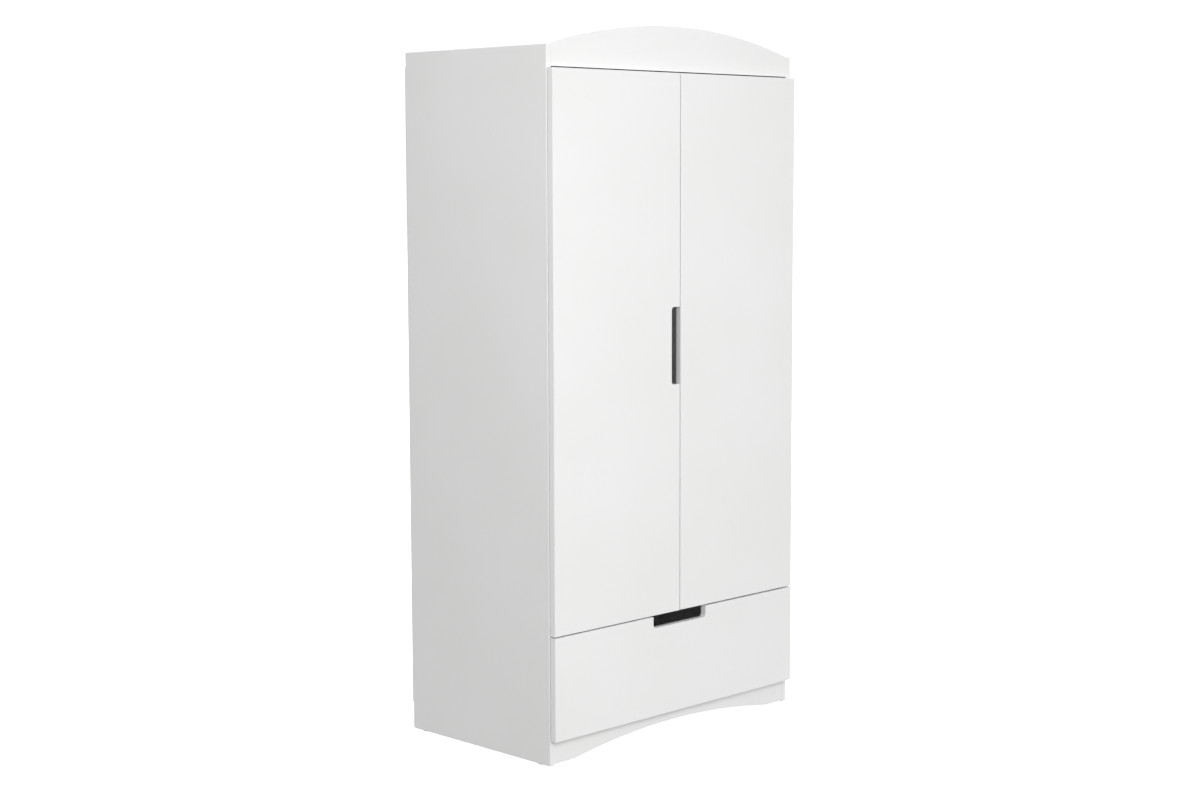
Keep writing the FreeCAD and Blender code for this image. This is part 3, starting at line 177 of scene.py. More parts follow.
# %% [markdown]
# ## White foil
# The boards inside are particle board pressed with a white melamine foil. The press plate leaves a fine
# pearl grain, and the particles under the foil show as a very faint unevenness. Their front edges carry a
# glued edge band, a little smoother and cooler than the face, so it gets a finish of its own.

# %% Foil and edge band
def white_foil(name):
    """Melamine foil: chips show through a little, under a fine pearl grain."""
    finish, tree, shader = new_finish(name)
    here = metres(tree)
    chips = cloud(tree, here, 90, detail=3)
    white = tint(tree, spread(tree, chips, 0, 1), (0.770, 0.770, 0.764), (0.795, 0.796, 0.792))
    tree.links.new(white, shader.inputs["Base Color"])
    tree.links.new(spread(tree, cloud(tree, here, 14), 0.44, 0.56), shader.inputs["Roughness"])
    relief(tree, shader, (chips, 0.00002), (cloud(tree, here, 900, detail=1), 0.00001))
    return finish


def edge_band(name):
    """The glued band, whose faint streaks run along X."""
    finish, tree, shader = new_finish(name)
    along = metres(tree, (1, 40, 40))
    streak = cloud(tree, along, 12, detail=3)
    white = tint(tree, spread(tree, streak, 0, 1), (0.785, 0.790, 0.792), (0.806, 0.810, 0.812))
    tree.links.new(white, shader.inputs["Base Color"])
    tree.links.new(spread(tree, streak, 0.30, 0.38), shader.inputs["Roughness"])
    relief(tree, shader, (cloud(tree, along, 160), 0.000008))
    return finish


FOIL = white_foil("white_foil")
BAND = edge_band("white_edge_band")
print("made", FOIL.name, "and", BAND.name)

# %% [markdown]
# ## Hardboard
# The back and the drawer's bottom are thin hardboard: white print on the side that shows, raw brown fibre
# on the other. The raw side is pressed against a wire screen, which leaves a fine woven mark. Two sine
# waves multiplied together give that mark, and long thin noise gives the fibres.

# %% Printed and raw hardboard
def printed_hardboard(name):
    """The painted side of hardboard, with its fibres just showing."""
    finish, tree, shader = new_finish(name)
    here = metres(tree)
    fibre = cloud(tree, here, 160, detail=4)
    white = tint(tree, spread(tree, fibre, 0, 1), (0.735, 0.735, 0.722), (0.765, 0.765, 0.755))
    tree.links.new(white, shader.inputs["Base Color"])
    tree.links.new(spread(tree, cloud(tree, here, 20), 0.50, 0.60), shader.inputs["Roughness"])
    relief(tree, shader, (fibre, 0.00003))
    return finish


def screen_mark(tree, where, pitch):
    """The woven print of a wire screen: waves along X and Z, multiplied."""
    waves = []
    for direction in ("X", "Z"):
        wave = tree.nodes.new("ShaderNodeTexWave")
        wave.bands_direction = direction
        wave.inputs["Scale"].default_value = pi / (10 * pitch)
        wave.inputs["Distortion"].default_value = 0.6
        wave.inputs["Detail Scale"].default_value = 2.0
        tree.links.new(where, wave.inputs["Vector"])
        waves.append(wave.outputs["Fac"])
    product = tree.nodes.new("ShaderNodeMath")
    product.operation = "MULTIPLY"
    for socket, wave in zip(product.inputs, waves):
        tree.links.new(wave, socket)
    return product.outputs["Value"]


SCREEN_PITCH = 1.6 * MM


def raw_hardboard(name):
    """The raw side of hardboard: upright fibres, blotches and the mark of the screen."""
    finish, tree, shader = new_finish(name)
    here = metres(tree)
    weave = screen_mark(tree, here, SCREEN_PITCH)
    fibre = cloud(tree, metres(tree, (1, 1, 0.45)), 240, detail=6, roughness=0.65)
    blotch = cloud(tree, here, 7, detail=4)
    brown = tint(tree, spread(tree, fibre, 0, 1), (0.205, 0.118, 0.062), (0.330, 0.212, 0.122))
    faded = tint(tree, spread(tree, blotch, 0, 0.35), brown, (0.300, 0.200, 0.125))
    tree.links.new(faded, shader.inputs["Base Color"])
    tree.links.new(spread(tree, fibre, 0.78, 0.92), shader.inputs["Roughness"])
    relief(tree, shader, (fibre, 0.00012), (weave, 0.00010))
    return finish


PRINTED = printed_hardboard("printed_hardboard")
RAW_BOARD = raw_hardboard("raw_hardboard")
print("made", PRINTED.name, "and", RAW_BOARD.name)

# %% [markdown]
# ## Metals
# Every fitting is plated steel or cast zinc. Plating follows what lies under it, so a stamped part shows
# fine rolling lines and a cast part a sandy grain. Roughness carries most of the difference between
# polished chrome, nickel and zinc, with a slight change of tint.

# %% Plated steel and cast zinc
def plated(name, dull, bright, roughness, rolled=(1, 1, 1), grain=0.000006, spangle=0):
    """A metal with two tints and a range of roughness. rolled stretches its lines along a direction,
    grain is their depth in metres, and spangle is the number of zinc crystals to the metre."""
    finish, tree, shader = new_finish(name)
    here = metres(tree)
    lines = cloud(tree, metres(tree, rolled), 1600, detail=2)
    patch = cloud(tree, here, 45, detail=3)
    if spangle:
        cells = tree.nodes.new("ShaderNodeTexVoronoi")
        cells.inputs["Scale"].default_value = spangle
        tree.links.new(here, cells.inputs["Vector"])
        patch = cells.outputs["Color"]
    metal = tint(tree, spread(tree, patch, 0, 1, 0.1, 0.9), dull, bright)
    tree.links.new(metal, shader.inputs["Base Color"])
    tree.links.new(spread(tree, lines, *roughness), shader.inputs["Roughness"])
    shader.inputs["Metallic"].default_value = 1.0
    relief(tree, shader, (lines, grain))
    return finish


NICKEL = plated("nickel_plate", (0.66, 0.65, 0.63), (0.72, 0.71, 0.69), (0.20, 0.28), (1, 1, 0.15),
                grain=0.000001)
ZINC = plated("zinc_plate", (0.60, 0.61, 0.63), (0.72, 0.73, 0.75), (0.28, 0.42), (1, 0.05, 1), spangle=130)
CHROME = plated("polished_chrome", (0.76, 0.76, 0.77), (0.83, 0.83, 0.84), (0.05, 0.12), (0.04, 1, 1),
                grain=0.000002)
BALL_STEEL = plated("ball_steel", (0.70, 0.71, 0.73), (0.78, 0.79, 0.81), (0.06, 0.12), grain=0.000001)
CAST_ZINC = plated("cast_zinc", (0.48, 0.48, 0.49), (0.60, 0.60, 0.61), (0.38, 0.58), grain=0.00002)
print("made", [m.name for m in (NICKEL, ZINC, CHROME, BALL_STEEL, CAST_ZINC)])

# %% [markdown]
# ## Plastics and beech
# The back's joint strip and the floor glides are moulded plastic with a fine sparked grain. The door
# bumpers are clear soft domes. The dowels are turned beech, which shows short dark rays along its grain.

# %% Plastic, clear bumper and beech
def moulded(name, first, second):
    """Plastic from a sparked mould."""
    finish, tree, shader = new_finish(name)
    here = metres(tree)
    white = tint(tree, spread(tree, cloud(tree, here, 25), 0, 1), first, second)
    tree.links.new(white, shader.inputs["Base Color"])
    grain = cloud(tree, here, 1500, detail=2)
    tree.links.new(spread(tree, grain, 0.40, 0.54), shader.inputs["Roughness"])
    relief(tree, shader, (grain, 0.00001))
    return finish


def clear_soft(name):
    """A soft clear plastic with a slight haze."""
    finish, tree, shader = new_finish(name)
    haze = cloud(tree, metres(tree), 300, detail=2)
    tree.links.new(spread(tree, haze, 0.12, 0.24), shader.inputs["Roughness"])
    hazy = tint(tree, spread(tree, haze, 0, 1), (0.86, 0.88, 0.88), (0.93, 0.94, 0.94))
    tree.links.new(hazy, shader.inputs["Base Color"])
    shader.inputs["Transmission Weight"].default_value = 0.85
    shader.inputs["IOR"].default_value = 1.45
    relief(tree, shader, (haze, 0.00001))
    return finish


def turned_beech(name):
    """Beech whose grain runs along X, as the dowels lie."""
    finish, tree, shader = new_finish(name)
    grain = cloud(tree, metres(tree, (0.12, 1, 1)), 500, detail=4)
    rays = cloud(tree, metres(tree, (0.3, 1, 1)), 1400, detail=1)
    wood = tint(tree, spread(tree, grain, 0, 1), (0.46, 0.29, 0.16), (0.60, 0.42, 0.26))
    flecked = tint(tree, spread(tree, rays, 0, 0.6, 0.55, 0.7), wood, (0.30, 0.17, 0.09))
    tree.links.new(flecked, shader.inputs["Base Color"])
    tree.links.new(spread(tree, grain, 0.55, 0.7), shader.inputs["Roughness"])
    relief(tree, shader, (grain, 0.00003))
    return finish


PLASTIC = moulded("white_plastic", (0.74, 0.74, 0.73), (0.78, 0.78, 0.77))
CLEAR = clear_soft("clear_bumper")
BEECH = turned_beech("beech")
print("made", PLASTIC.name, CLEAR.name, BEECH.name)

# %% [markdown]
# ## From a bmesh to a finished piece
# Each piece is shaped in a bmesh and then handed to one function. It marks the sharp edges, so that
# rounded edges shade smoothly and flat faces stay flat, puts the piece on the body that its CAD node
# rides on, hides that node and gives the piece its finishes.

# %% Finish a piece
SHARP = radians(35)


def finished(bm, name, node, finishes):
    """Makes the object of a bmesh. It rides on the body of a CAD node and replaces that node."""
    bm.normal_update()
    for face in bm.faces:
        face.smooth = True
    for edge in bm.edges:
        edge.smooth = len(edge.link_faces) == 2 and edge.calc_face_angle(0) < SHARP
    mesh = bpy.data.meshes.new(name)
    bm.to_mesh(mesh)
    bm.free()
    for finish in finishes:
        mesh.materials.append(finish)
    piece = bpy.data.objects.new(name, mesh)
    bpy.context.scene.collection.objects.link(piece)
    shading = piece.modifiers.new("flat faces stay flat", "WEIGHTED_NORMAL")
    shading.keep_sharp = True
    shading.weight = 50
    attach(piece, BODY_OF[node])
    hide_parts(node)
    print(f"{name}: {len(mesh.polygons)} faces, rides on {BODY_OF[node]}")


# %% [markdown]
# ## Fronts in lacquer
# A door is one outline pushed back by its thickness. The outline starts as a few corner points, the
# inner corners of a finger notch are rounded by bevelling the two points, and the hinge bores are rings
# that the back face is filled around. The fronts stop a little inside the sides, so that a thin line of
# each side's front edge shows. At the end the outer edges are eased, because lacquer runs off a sharp
# edge and every real door has a small radius there that catches the light.

# %% Small helpers for outlines
def edges_between(verts):
    """The edges whose two ends are both among these points."""
    chosen = set(verts)
    nearby = dict.fromkeys(edge for vert in verts for edge in vert.link_edges)
    return [edge for edge in nearby if set(edge.verts) <= chosen]


def parts(result, kind):
    """What an operator made, of one kind."""
    return [item for item in result["geom"] if isinstance(item, kind)]


def push(bm, edges, by):
    """Extrudes a ring of edges by a vector, and gives the new ring's edges."""
    grown = bmesh.ops.extrude_edge_only(bm, edges=edges)
    verts = parts(grown, bmesh.types.BMVert)
    bmesh.ops.translate(bm, vec=by, verts=verts)
    return edges_between(verts)


def outer_edges(bm):
    """The edges where two faces meet in a sharp outer corner."""
    return [e for e in bm.edges if len(e.link_faces) == 2 and e.calc_face_angle_signed(0) > SHARP]


def ease(bm, edges, radius, segments=3):
    """Rounds edges with a small radius."""
    bmesh.ops.bevel(bm, geom=edges, affect="EDGES", offset=radius, segments=segments, profile=0.5,
                    material=-1, clamp_overlap=True, loop_slide=True)


def round_corners(bm, points, radius, segments):
    """Rounds corner points of a flat outline."""
    bmesh.ops.bevel(bm, geom=points, affect="VERTICES", offset=radius, segments=segments, profile=0.5,
                    material=-1)


# %% A back face with bores
BORE_STEPS = 64


def bored_back(bm, back, y, bores, radius, depth):
    """Fills the ring of a board's back round its bores, sinks them, and gives the edges of their mouths."""
    mouths = []
    for x, z in bores:
        place = Matrix.Translation((x, y, z)) @ Matrix.Rotation(pi / 2, 4, "X")
        circle = bmesh.ops.create_circle(bm, cap_ends=False, radius=radius, segments=BORE_STEPS,
                                         matrix=place)
        mouths.append(edges_between(circle["verts"]))
    bmesh.ops.triangle_fill(bm, use_beauty=True, use_dissolve=False, edges=back + sum(mouths, []),
                            normal=(0, 1, 0))
    for mouth in mouths:
        bmesh.ops.edgeloop_fill(bm, edges=push(bm, mouth, (0, -depth, 0)))
    bmesh.ops.recalc_face_normals(bm, faces=bm.faces)
    return sum(mouths, [])


# %% A front with a notch and hinge bores
EASE = 1.2 * MM
NOTCH_ROUND, LIP_ROUND = 9 * MM, 1.5 * MM
CUP_BORE, CUP_BORE_DEPTH = 17.6 * MM, 13.5 * MM


def front_board(name, node, corners, notch=(), lips=(), bores=()):
    """A front standing in the XZ plane. corners are its (x, z) points in order; notch lists the
    corners of the notch's floor, lips those at its mouth, and bores the (x, z) of hinge cups."""
    low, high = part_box(node)
    bm = bmesh.new()
    points = [bm.verts.new((x, low.y, z)) for x, z in corners]
    bm.faces.new(points)
    if notch:
        round_corners(bm, [points[i] for i in notch], NOTCH_ROUND, 10)
        round_corners(bm, [points[i] for i in lips], LIP_ROUND, 4)
    back = push(bm, list(bm.edges), (0, high.y - low.y, 0))
    mouths = bored_back(bm, back, high.y, bores, CUP_BORE, CUP_BORE_DEPTH)
    ease(bm, [edge for edge in outer_edges(bm) if edge not in mouths], EASE)
    finished(bm, name, node, [LACQUER])


# %% [markdown]
# The hinge cups say where the bores go. A CAD node may hold several solids, so a helper merges a copy
# of its triangles and walks from point to point to find each one.

# %% Find the solids of a CAD node
def merged(node):
    """A copy of a CAD node's mesh with its loose triangles joined and its flat faces whole."""
    bm = bmesh.new()
    bm.from_mesh(frame["nodes"][node].data)
    bmesh.ops.remove_doubles(bm, verts=bm.verts, dist=2e-6)
    bmesh.ops.dissolve_limit(bm, angle_limit=radians(0.2), use_dissolve_boundaries=False, verts=bm.verts,
                             edges=bm.edges)
    return bm


def islands(bm):
    """The points of each separate solid."""
    found, seen = [], set()
    for start in bm.verts:
        if start in seen:
            continue
        group, waiting = [], [start]
        seen.add(start)
        while waiting:
            vert = waiting.pop()
            group.append(vert)
            for edge in vert.link_edges:
                other = edge.other_vert(vert)
                if other not in seen:
                    seen.add(other)
                    waiting.append(other)
        found.append(group)
    return found


def solids(node):
    """The points of each solid of a CAD node, as lists of vectors."""
    bm = merged(node)
    found = [[v.co.copy() for v in group] for group in islands(bm)]
    bm.free()
    return found


def middle(points):
    """The centre of the box round some points."""
    return Vector([(min(p[i] for p in points) + max(p[i] for p in points)) / 2 for i in range(3)])


def cup_centres(node):
    """Where each hinge cup's round floor lies."""
    centres = []
    for points in solids(node):
        floor = min(p.y for p in points)
        centres.append(middle([p for p in points if p.y < floor + 0.1 * MM]))
    return centres


# %% Doors
NOTCH_LENGTH, NOTCH_DEPTH = 220 * MM, 33 * MM
REVEAL = 1.5 * MM

low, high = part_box("door_left")
outer, notch_x = low.x + REVEAL, high.x - NOTCH_DEPTH
notch_low = (low.z + high.z - NOTCH_LENGTH) / 2
notch_high = notch_low + NOTCH_LENGTH
left_corners = [(outer, low.z), (high.x, low.z), (high.x, notch_low), (notch_x, notch_low),
                (notch_x, notch_high), (high.x, notch_high), (high.x, high.z), (outer, high.z)]
left_bores = [(c.x, c.z) for c in cup_centres("hinge_cups_left")]
front_board("door_left_leaf", "door_left", left_corners, notch=(3, 4), lips=(2, 5), bores=left_bores)

low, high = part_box("door_right")
outer = high.x - REVEAL
right_corners = [(low.x, low.z), (outer, low.z), (outer, high.z), (low.x, high.z)]
right_bores = [(c.x, c.z) for c in cup_centres("hinge_cups_right")]
front_board("door_right_leaf", "door_right", right_corners, bores=right_bores)

# %% Drawer front
low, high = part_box("drawer_front")
outer, half, notch_z = high.x - REVEAL, NOTCH_LENGTH / 2, high.z - NOTCH_DEPTH
drawer_corners = [(-outer, low.z), (outer, low.z), (outer, high.z), (half, high.z),
                  (half, notch_z), (-half, notch_z), (-half, high.z), (-outer, high.z)]
front_board("drawer_front_leaf", "drawer_front", drawer_corners, notch=(4, 5), lips=(3, 6))

# %% [markdown]
# ## Crown and plinth
# Both boards have one long shallow arch. A single point spun about the arch's far-off centre draws the
# curve as a chain of edges, which is closed with straight edges, filled and pushed back. The arch's
# radius follows from its width and its rise.

# %% Arched boards
ARCH_STEPS = 72
CAM_BORE, CAM_BORE_DEPTH = 7.6 * MM, 12.6 * MM


def arch(bm, half_width, ends_z, rise, y):
    """Spins a point into an arch from right to left, and gives its points in order."""
    radius = (half_width ** 2 + rise ** 2) / (2 * rise)
    centre = Vector((0, y, ends_z + rise - radius))
    sweep = 2 * atan2(half_width, radius - rise)
    start = bm.verts.new((half_width, y, ends_z))
    bmesh.ops.spin(bm, geom=[start], cent=centre, axis=(0, 1, 0), dvec=(0, 0, 0), angle=-sweep,
                   steps=ARCH_STEPS, use_merge=False, use_duplicate=False)
    return sorted(bm.verts, key=lambda v: -v.co.x)


def cams_in(node):
    """The (x, z) of the cam locks that sit in a board."""
    low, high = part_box(node)
    centres = [middle(points) for points in solids("cam_locks")]
    return [(c.x, c.z) for c in centres if all(low[i] < c[i] < high[i] for i in range(3))]


def arched_board(name, node, outline):
    """Pushes an outline back to the board's thickness, sinks its cam bores and eases its edges."""
    low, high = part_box(node)
    back = push(outline, list(outline.edges), (0, high.y - low.y, 0))
    mouths = bored_back(outline, back, high.y, cams_in(node), CAM_BORE, CAM_BORE_DEPTH)
    ease(outline, [edge for edge in outer_edges(outline) if edge not in mouths], EASE)
    finished(outline, name, node, [LACQUER])


# %% Crown
CROWN_RISE = 67 * MM

low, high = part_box("crown_board")
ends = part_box("side_panel_left")[1].z
crown = bmesh.new()
curve = arch(crown, high.x, ends, CROWN_RISE, low.y)
corners = [crown.verts.new((low.x, low.y, low.z)), crown.verts.new((high.x, low.y, low.z))]
crown.faces.new(curve + corners)
arched_board("crown_arch", "crown_board", crown)

# %% Plinth
PLINTH_ARCH_HALF, PLINTH_ARCH_RISE, PLINTH_FOOT_ROUND = 408 * MM, 36 * MM, 45 * MM

low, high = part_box("plinth_board")
plinth = bmesh.new()
curve = arch(plinth, PLINTH_ARCH_HALF, low.z, PLINTH_ARCH_RISE, low.y)
corners = [plinth.verts.new((x, low.y, z)) for x, z in
           ((low.x, low.z), (low.x, high.z), (high.x, high.z), (high.x, low.z))]
plinth.faces.new(curve + corners)
round_corners(plinth, [curve[0], curve[-1]], PLINTH_FOOT_ROUND, 10)
arched_board("plinth_arch", "plinth_board", plinth)

# %% [markdown]
# ## Boards with bores
# The sides and the boards between them are drilled for pins, cams, bolts, dowels and screws. The CAD
# solid has every one of those holes, so a merged copy of it is the best start. Its long outer edges are
# eased, and on the foil boards between the sides the front edge gets the band's finish.

# %% Ease a drilled board
SIDE_EASE, BOARD_EASE, BOX_EASE = 2.0 * MM, 0.6 * MM, 0.8 * MM


def on_box(vert, low, high):
    """How many faces of a box a point lies on."""
    return sum(abs(vert.co[i] - side[i]) < 0.01 * MM for i in range(3) for side in (low, high))


def drilled_board(name, node, finishes, radius, banded=False):
    """A CAD board with its bores, its long outer edges eased."""
    low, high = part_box(node)
    bm = merged(node)
    outer = [edge for edge in outer_edges(bm) if edge.calc_length() > 6 * radius
             and all(on_box(vert, low, high) >= 2 for vert in edge.verts)]
    bmesh.ops.bevel(bm, geom=outer, affect="EDGES", offset=radius, segments=3, profile=0.5, material=-1,
                    clamp_overlap=True, loop_slide=False)
    if banded:
        for face in bm.faces:
            if face.normal.y < -0.5 and face.calc_center_median().y < low.y + 2 * radius:
                face.material_index = 1
    finished(bm, name, node, finishes)


# %% Sides
for side in ("left", "right"):
    drilled_board(f"side_{side}", f"side_panel_{side}", [LACQUER], SIDE_EASE)

# %% Boards between the sides, and the drawer box
for node in ("top_panel", "compartment_floor", "base_panel", "rear_plinth_rail", "upper_shelf"):
    drilled_board(f"{node}_foil", node, [FOIL, BAND], BOARD_EASE, banded=True)
for node in ("drawer_side_left", "drawer_side_right", "drawer_back"):
    drilled_board(f"{node}_foil", node, [FOIL, BAND], BOX_EASE)

# %% [markdown]
# ## Back panels and drawer bottom
# Hardboard has two different faces, so each face of a merged copy takes its finish by the way it points:
# raw towards the wall or the floor, printed towards the room.

# %% Hardboard sheets
def hardboard_sheet(name, node, raw_way):
    """A sheet that is raw on the face that points a given way."""
    bm = merged(node)
    bm.normal_update()
    way = Vector(raw_way)
    for face in bm.faces:
        face.material_index = 1 if face.normal.dot(way) > 0.5 else 0
    finished(bm, name, node, [PRINTED, RAW_BOARD])


for side in ("left", "right"):
    hardboard_sheet(f"back_sheet_{side}", f"back_panel_{side}", (0, 1, 0))
hardboard_sheet("drawer_bottom_sheet", "drawer_bottom", (0, 0, -1))

# %% [markdown]
# ## Screws, pins and other turned parts
# Most small fittings are turned: one profile, spun about an axis. The CAD solids are turned too, so their
# own points tell the profile. The points of each solid are sorted into rings, each ring is one corner of
# the profile, and the profile is spun again with rounded corners and with the details that a real fitting
# has, such as the cross in a screw's head. So every screw stays exactly as long as its bore needs.

# %% Read a turned solid
SAME = 0.05 * MM


def read_turned(points, towards=None):
    """The middle of a turned solid's top, the way it faces, and its profile from the bottom up as
    (radius, height), with the top at zero. Its top is its wider end, or the one towards a given point."""
    size = [max(p[i] for p in points) - min(p[i] for p in points) for i in range(3)]
    axis = min(range(3), key=lambda i: abs(size[i - 1] - size[i - 2]))
    way = Vector([float(i == axis) for i in range(3)])
    centre, half = middle(points), size[axis] / 2
    rings = []
    for p in points:
        height = (p - centre).dot(way)
        radius = (p - centre - way * height).length
        if not any(abs(height - h) < SAME and abs(radius - r) < SAME for h, r in rings):
            rings.append((height, radius))
    rings.sort()
    if towards is None:
        upside_down = rings[0][1] > rings[-1][1]
    else:
        upside_down = way.dot(Vector(towards) - centre) < 0
    if upside_down:
        way, rings = -way, sorted((-height, radius) for height, radius in rings)
    profile = []
    while rings:
        last = profile[-1][0] if profile else 0
        level = [ring for ring in rings if ring[0] - rings[0][0] < SAME]
        level.sort(key=lambda ring: abs(ring[1] - last))
        profile += [(radius, height - half) for height, radius in level]
        rings = [ring for ring in rings if ring not in level]
    return centre + way * half, way, profile


# %% Turn a profile
def turned(profile, steps=40, closed=False):
    """Spins a chain of (radius, height) points about the Z axis."""
    bm = bmesh.new()
    chain = [bm.verts.new((radius, 0, height)) for radius, height in profile]
    for start, end in zip(chain, chain[1:] + chain[:1] if closed else chain[1:]):
        bm.edges.new((start, end))
    bmesh.ops.spin(bm, geom=bm.verts[:] + bm.edges[:], cent=(0, 0, 0), axis=(0, 0, 1), dvec=(0, 0, 0),
                   angle=2 * pi, steps=steps, use_merge=True, use_duplicate=False)
    bmesh.ops.remove_doubles(bm, verts=bm.verts, dist=1e-7)
    bmesh.ops.recalc_face_normals(bm, faces=bm.faces)
    return bm


def set_down(bm, part, place, way):
    """Adds a part that was made along Z, with its top at zero, at a place and facing a way."""
    turn = way.to_track_quat("Z", "Y").to_matrix().to_4x4()
    bmesh.ops.transform(part, matrix=Matrix.Translation(place) @ turn, verts=part.verts)
    mesh = bpy.data.meshes.new("part")
    part.to_mesh(mesh)
    part.free()
    bm.from_mesh(mesh)
    bpy.data.meshes.remove(mesh)


def fittings(name, node, finish, make, towards=None):
    """Makes every solid of a node again, each by a function of its profile."""
    bm = bmesh.new()
    for points in solids(node):
        place, way, profile = read_turned(points, towards)
        set_down(bm, make(profile), place, way)
    finished(bm, name, node, [finish])


# %% A cross recess
def cross_recess(bm, reach, width, depth):
    """Closes the open ring of a part round a cross, and sinks the cross."""
    ring = [edge for edge in bm.edges if edge.is_boundary]
    grid = bmesh.ops.create_grid(bm, x_segments=3, y_segments=3, size=reach,
                                 matrix=Matrix.Translation((0, 0, ring[0].verts[0].co.z)))["verts"]
    for i in range(2):
        narrow = [1.5 * width / reach if j == i else 1 for j in range(3)]
        bmesh.ops.scale(bm, vec=narrow, verts=[v for v in grid if abs(v.co[i]) < 0.5 * reach])
    corners = [v for v in grid if min(abs(v.co.x), abs(v.co.y)) > 0.9 * reach]
    bmesh.ops.delete(bm, geom=corners, context="VERTS")
    cross = [v for v in grid if v.is_valid]
    floor = list(dict.fromkeys(face for v in cross for face in v.link_faces))
    rim = [edge for edge in edges_between(cross) if edge.is_boundary]
    bmesh.ops.triangle_fill(bm, use_beauty=True, use_dissolve=False, edges=ring + rim, normal=(0, 0, 1))
    sunk = parts(bmesh.ops.extrude_face_region(bm, geom=floor), bmesh.types.BMVert)
    bmesh.ops.delete(bm, geom=[face for face in floor if face.is_valid], context="FACES_ONLY")
    bmesh.ops.translate(bm, vec=(0, 0, -depth), verts=sunk)
    bmesh.ops.scale(bm, vec=(0.55, 0.55, 1), verts=sunk)
    bmesh.ops.recalc_face_normals(bm, faces=bm.faces)


def rounded_over(radius, soft, steps=3):
    """A quarter round, from the side of a head up to its flat top."""
    turns = [pi / 2 * i / steps for i in range(steps + 1)]
    return [(radius - soft * (1 - cos(turn)), -soft * (1 - sin(turn))) for turn in turns]


# %% Screws
def screw(profile, soft):
    """A turned screw with a cross in its head, whose rim is rounded by a radius."""
    head = profile[-1][0]
    bm = turned([(0, profile[0][1])] + profile[:-1] + rounded_over(head, soft), steps=32)
    cross_recess(bm, 0.52 * head, 0.20 * head, 0.32 * head)
    return bm


def pan_screw(profile):
    """A screw with a round head."""
    return screw(profile, 0.8 * MM)


def flush_screw(profile):
    """A screw with a flat head."""
    return screw(profile, 0.1 * MM)


fittings("plate_screws_crossed", "hinge_plate_screws", NICKEL, pan_screw)
fittings("arm_screws_crossed", "hinge_arm_screws", NICKEL, pan_screw)
for side in ("left", "right"):
    fittings(f"cup_screws_{side}_crossed", f"cup_screws_{side}", NICKEL, pan_screw)
fittings("rail_screws_crossed", "rail_screws", CHROME, pan_screw)
fittings("bracket_screws_crossed", "wall_bracket_screws", ZINC, pan_screw)
fittings("drawer_screws_crossed", "drawer_screws", ZINC, pan_screw)
fittings("runner_screws_crossed", "runner_screws", ZINC, flush_screw)

# %% [markdown]
# ## Cam locks
# A cam lock is a small zinc drum, sunk flush in a bore, and only its face shows: a rim, a shallow dish and
# a cross for the screwdriver. Its two ends are equally wide, so it is told which way it faces: under
# a panel it faces down, on an upright board to the rear, and in the drawer's sides inwards.

# %% Cam locks
def cam_lock(profile):
    """A drum with a rim, a dish and a cross in its face."""
    radius = profile[-1][0]
    rim, dish = 1.1 * MM, 0.5 * MM
    face = rounded_over(radius, 0.3 * MM) + [(radius - rim, 0), (radius - rim - dish, -dish)]
    bm = turned([(0, profile[0][1])] + profile[:-1] + face)
    cross_recess(bm, 4.2 * MM, 1.1 * MM, 2.0 * MM)
    return bm


fittings("cam_locks_crossed", "cam_locks", CAST_ZINC, cam_lock, towards=(0, 10, -10))
fittings("drawer_cam_locks_crossed", "drawer_cam_locks", CAST_ZINC, cam_lock, towards=(0, 0, 0))

# %% [markdown]
# ## Pins, glides, nails, bumpers and the rail
# These need no recess. A pin, glide or nail is its own profile with eased corners. A bumper is a soft
# dome, so a quarter of an ellipse is spun. The rail is a tube, so its profile is a closed loop.

# %% Plain turned parts
def eased_turning(profile, soft, steps):
    """The profile as it is, with its outer corners eased."""
    bm = turned([(0, profile[0][1])] + profile + [(0, 0)], steps)
    ease(bm, outer_edges(bm), soft, 2)
    return bm


def pin(profile):
    """A shelf pin."""
    return eased_turning(profile, 0.3 * MM, 32)


def glide(profile):
    """A floor glide."""
    return eased_turning(profile, 0.6 * MM, 40)


def nail(profile):
    """A nail in the back."""
    return eased_turning(profile, 0.25 * MM, 16)


fittings("shelf_pins_eased", "shelf_pins", NICKEL, pin)
fittings("floor_glides_eased", "floor_glides", PLASTIC, glide)
fittings("back_nails_domed", "back_nails", ZINC, nail)


# %% Bumpers
def soft_dome(profile):
    """A dome as wide and as high as the profile."""
    radius, foot = profile[0]
    turns = [pi / 2 * i / 8 for i in range(9)]
    return turned([(0, foot)] + [(radius * cos(turn), foot * (1 - sin(turn))) for turn in turns], steps=32)


for side in ("left", "right"):
    fittings(f"door_bumpers_{side}_domed", f"door_bumpers_{side}", CLEAR, soft_dome,
             towards=(0, 10, 0))


# %% Hanging rail
def tube(profile):
    """A tube, whose profile is the ring of its wall."""
    bm = turned(profile, steps=64, closed=True)
    ease(bm, outer_edges(bm), 0.3 * MM, 2)
    return bm


fittings("hanging_rail_tube", "hanging_rail", CHROME, tube)

# %% [markdown]
# ## Pressed and rolled steel
# Hinges, runners, brackets and flanges are pressed from sheet, so no corner on them is truly sharp. A
# merged copy of the CAD solid keeps every hole and bend, and a small bevel on all outer edges lets
# them catch a line of light.

# %% Ease a pressed part
def pressed(name, node, finish, radius):
    """A CAD part with its outer edges eased."""
    bm = merged(node)
    bmesh.ops.bevel(bm, geom=outer_edges(bm), affect="EDGES", offset=radius, segments=2, profile=0.5,
                    material=-1, clamp_overlap=True, loop_slide=False)
    finished(bm, name, node, [finish])


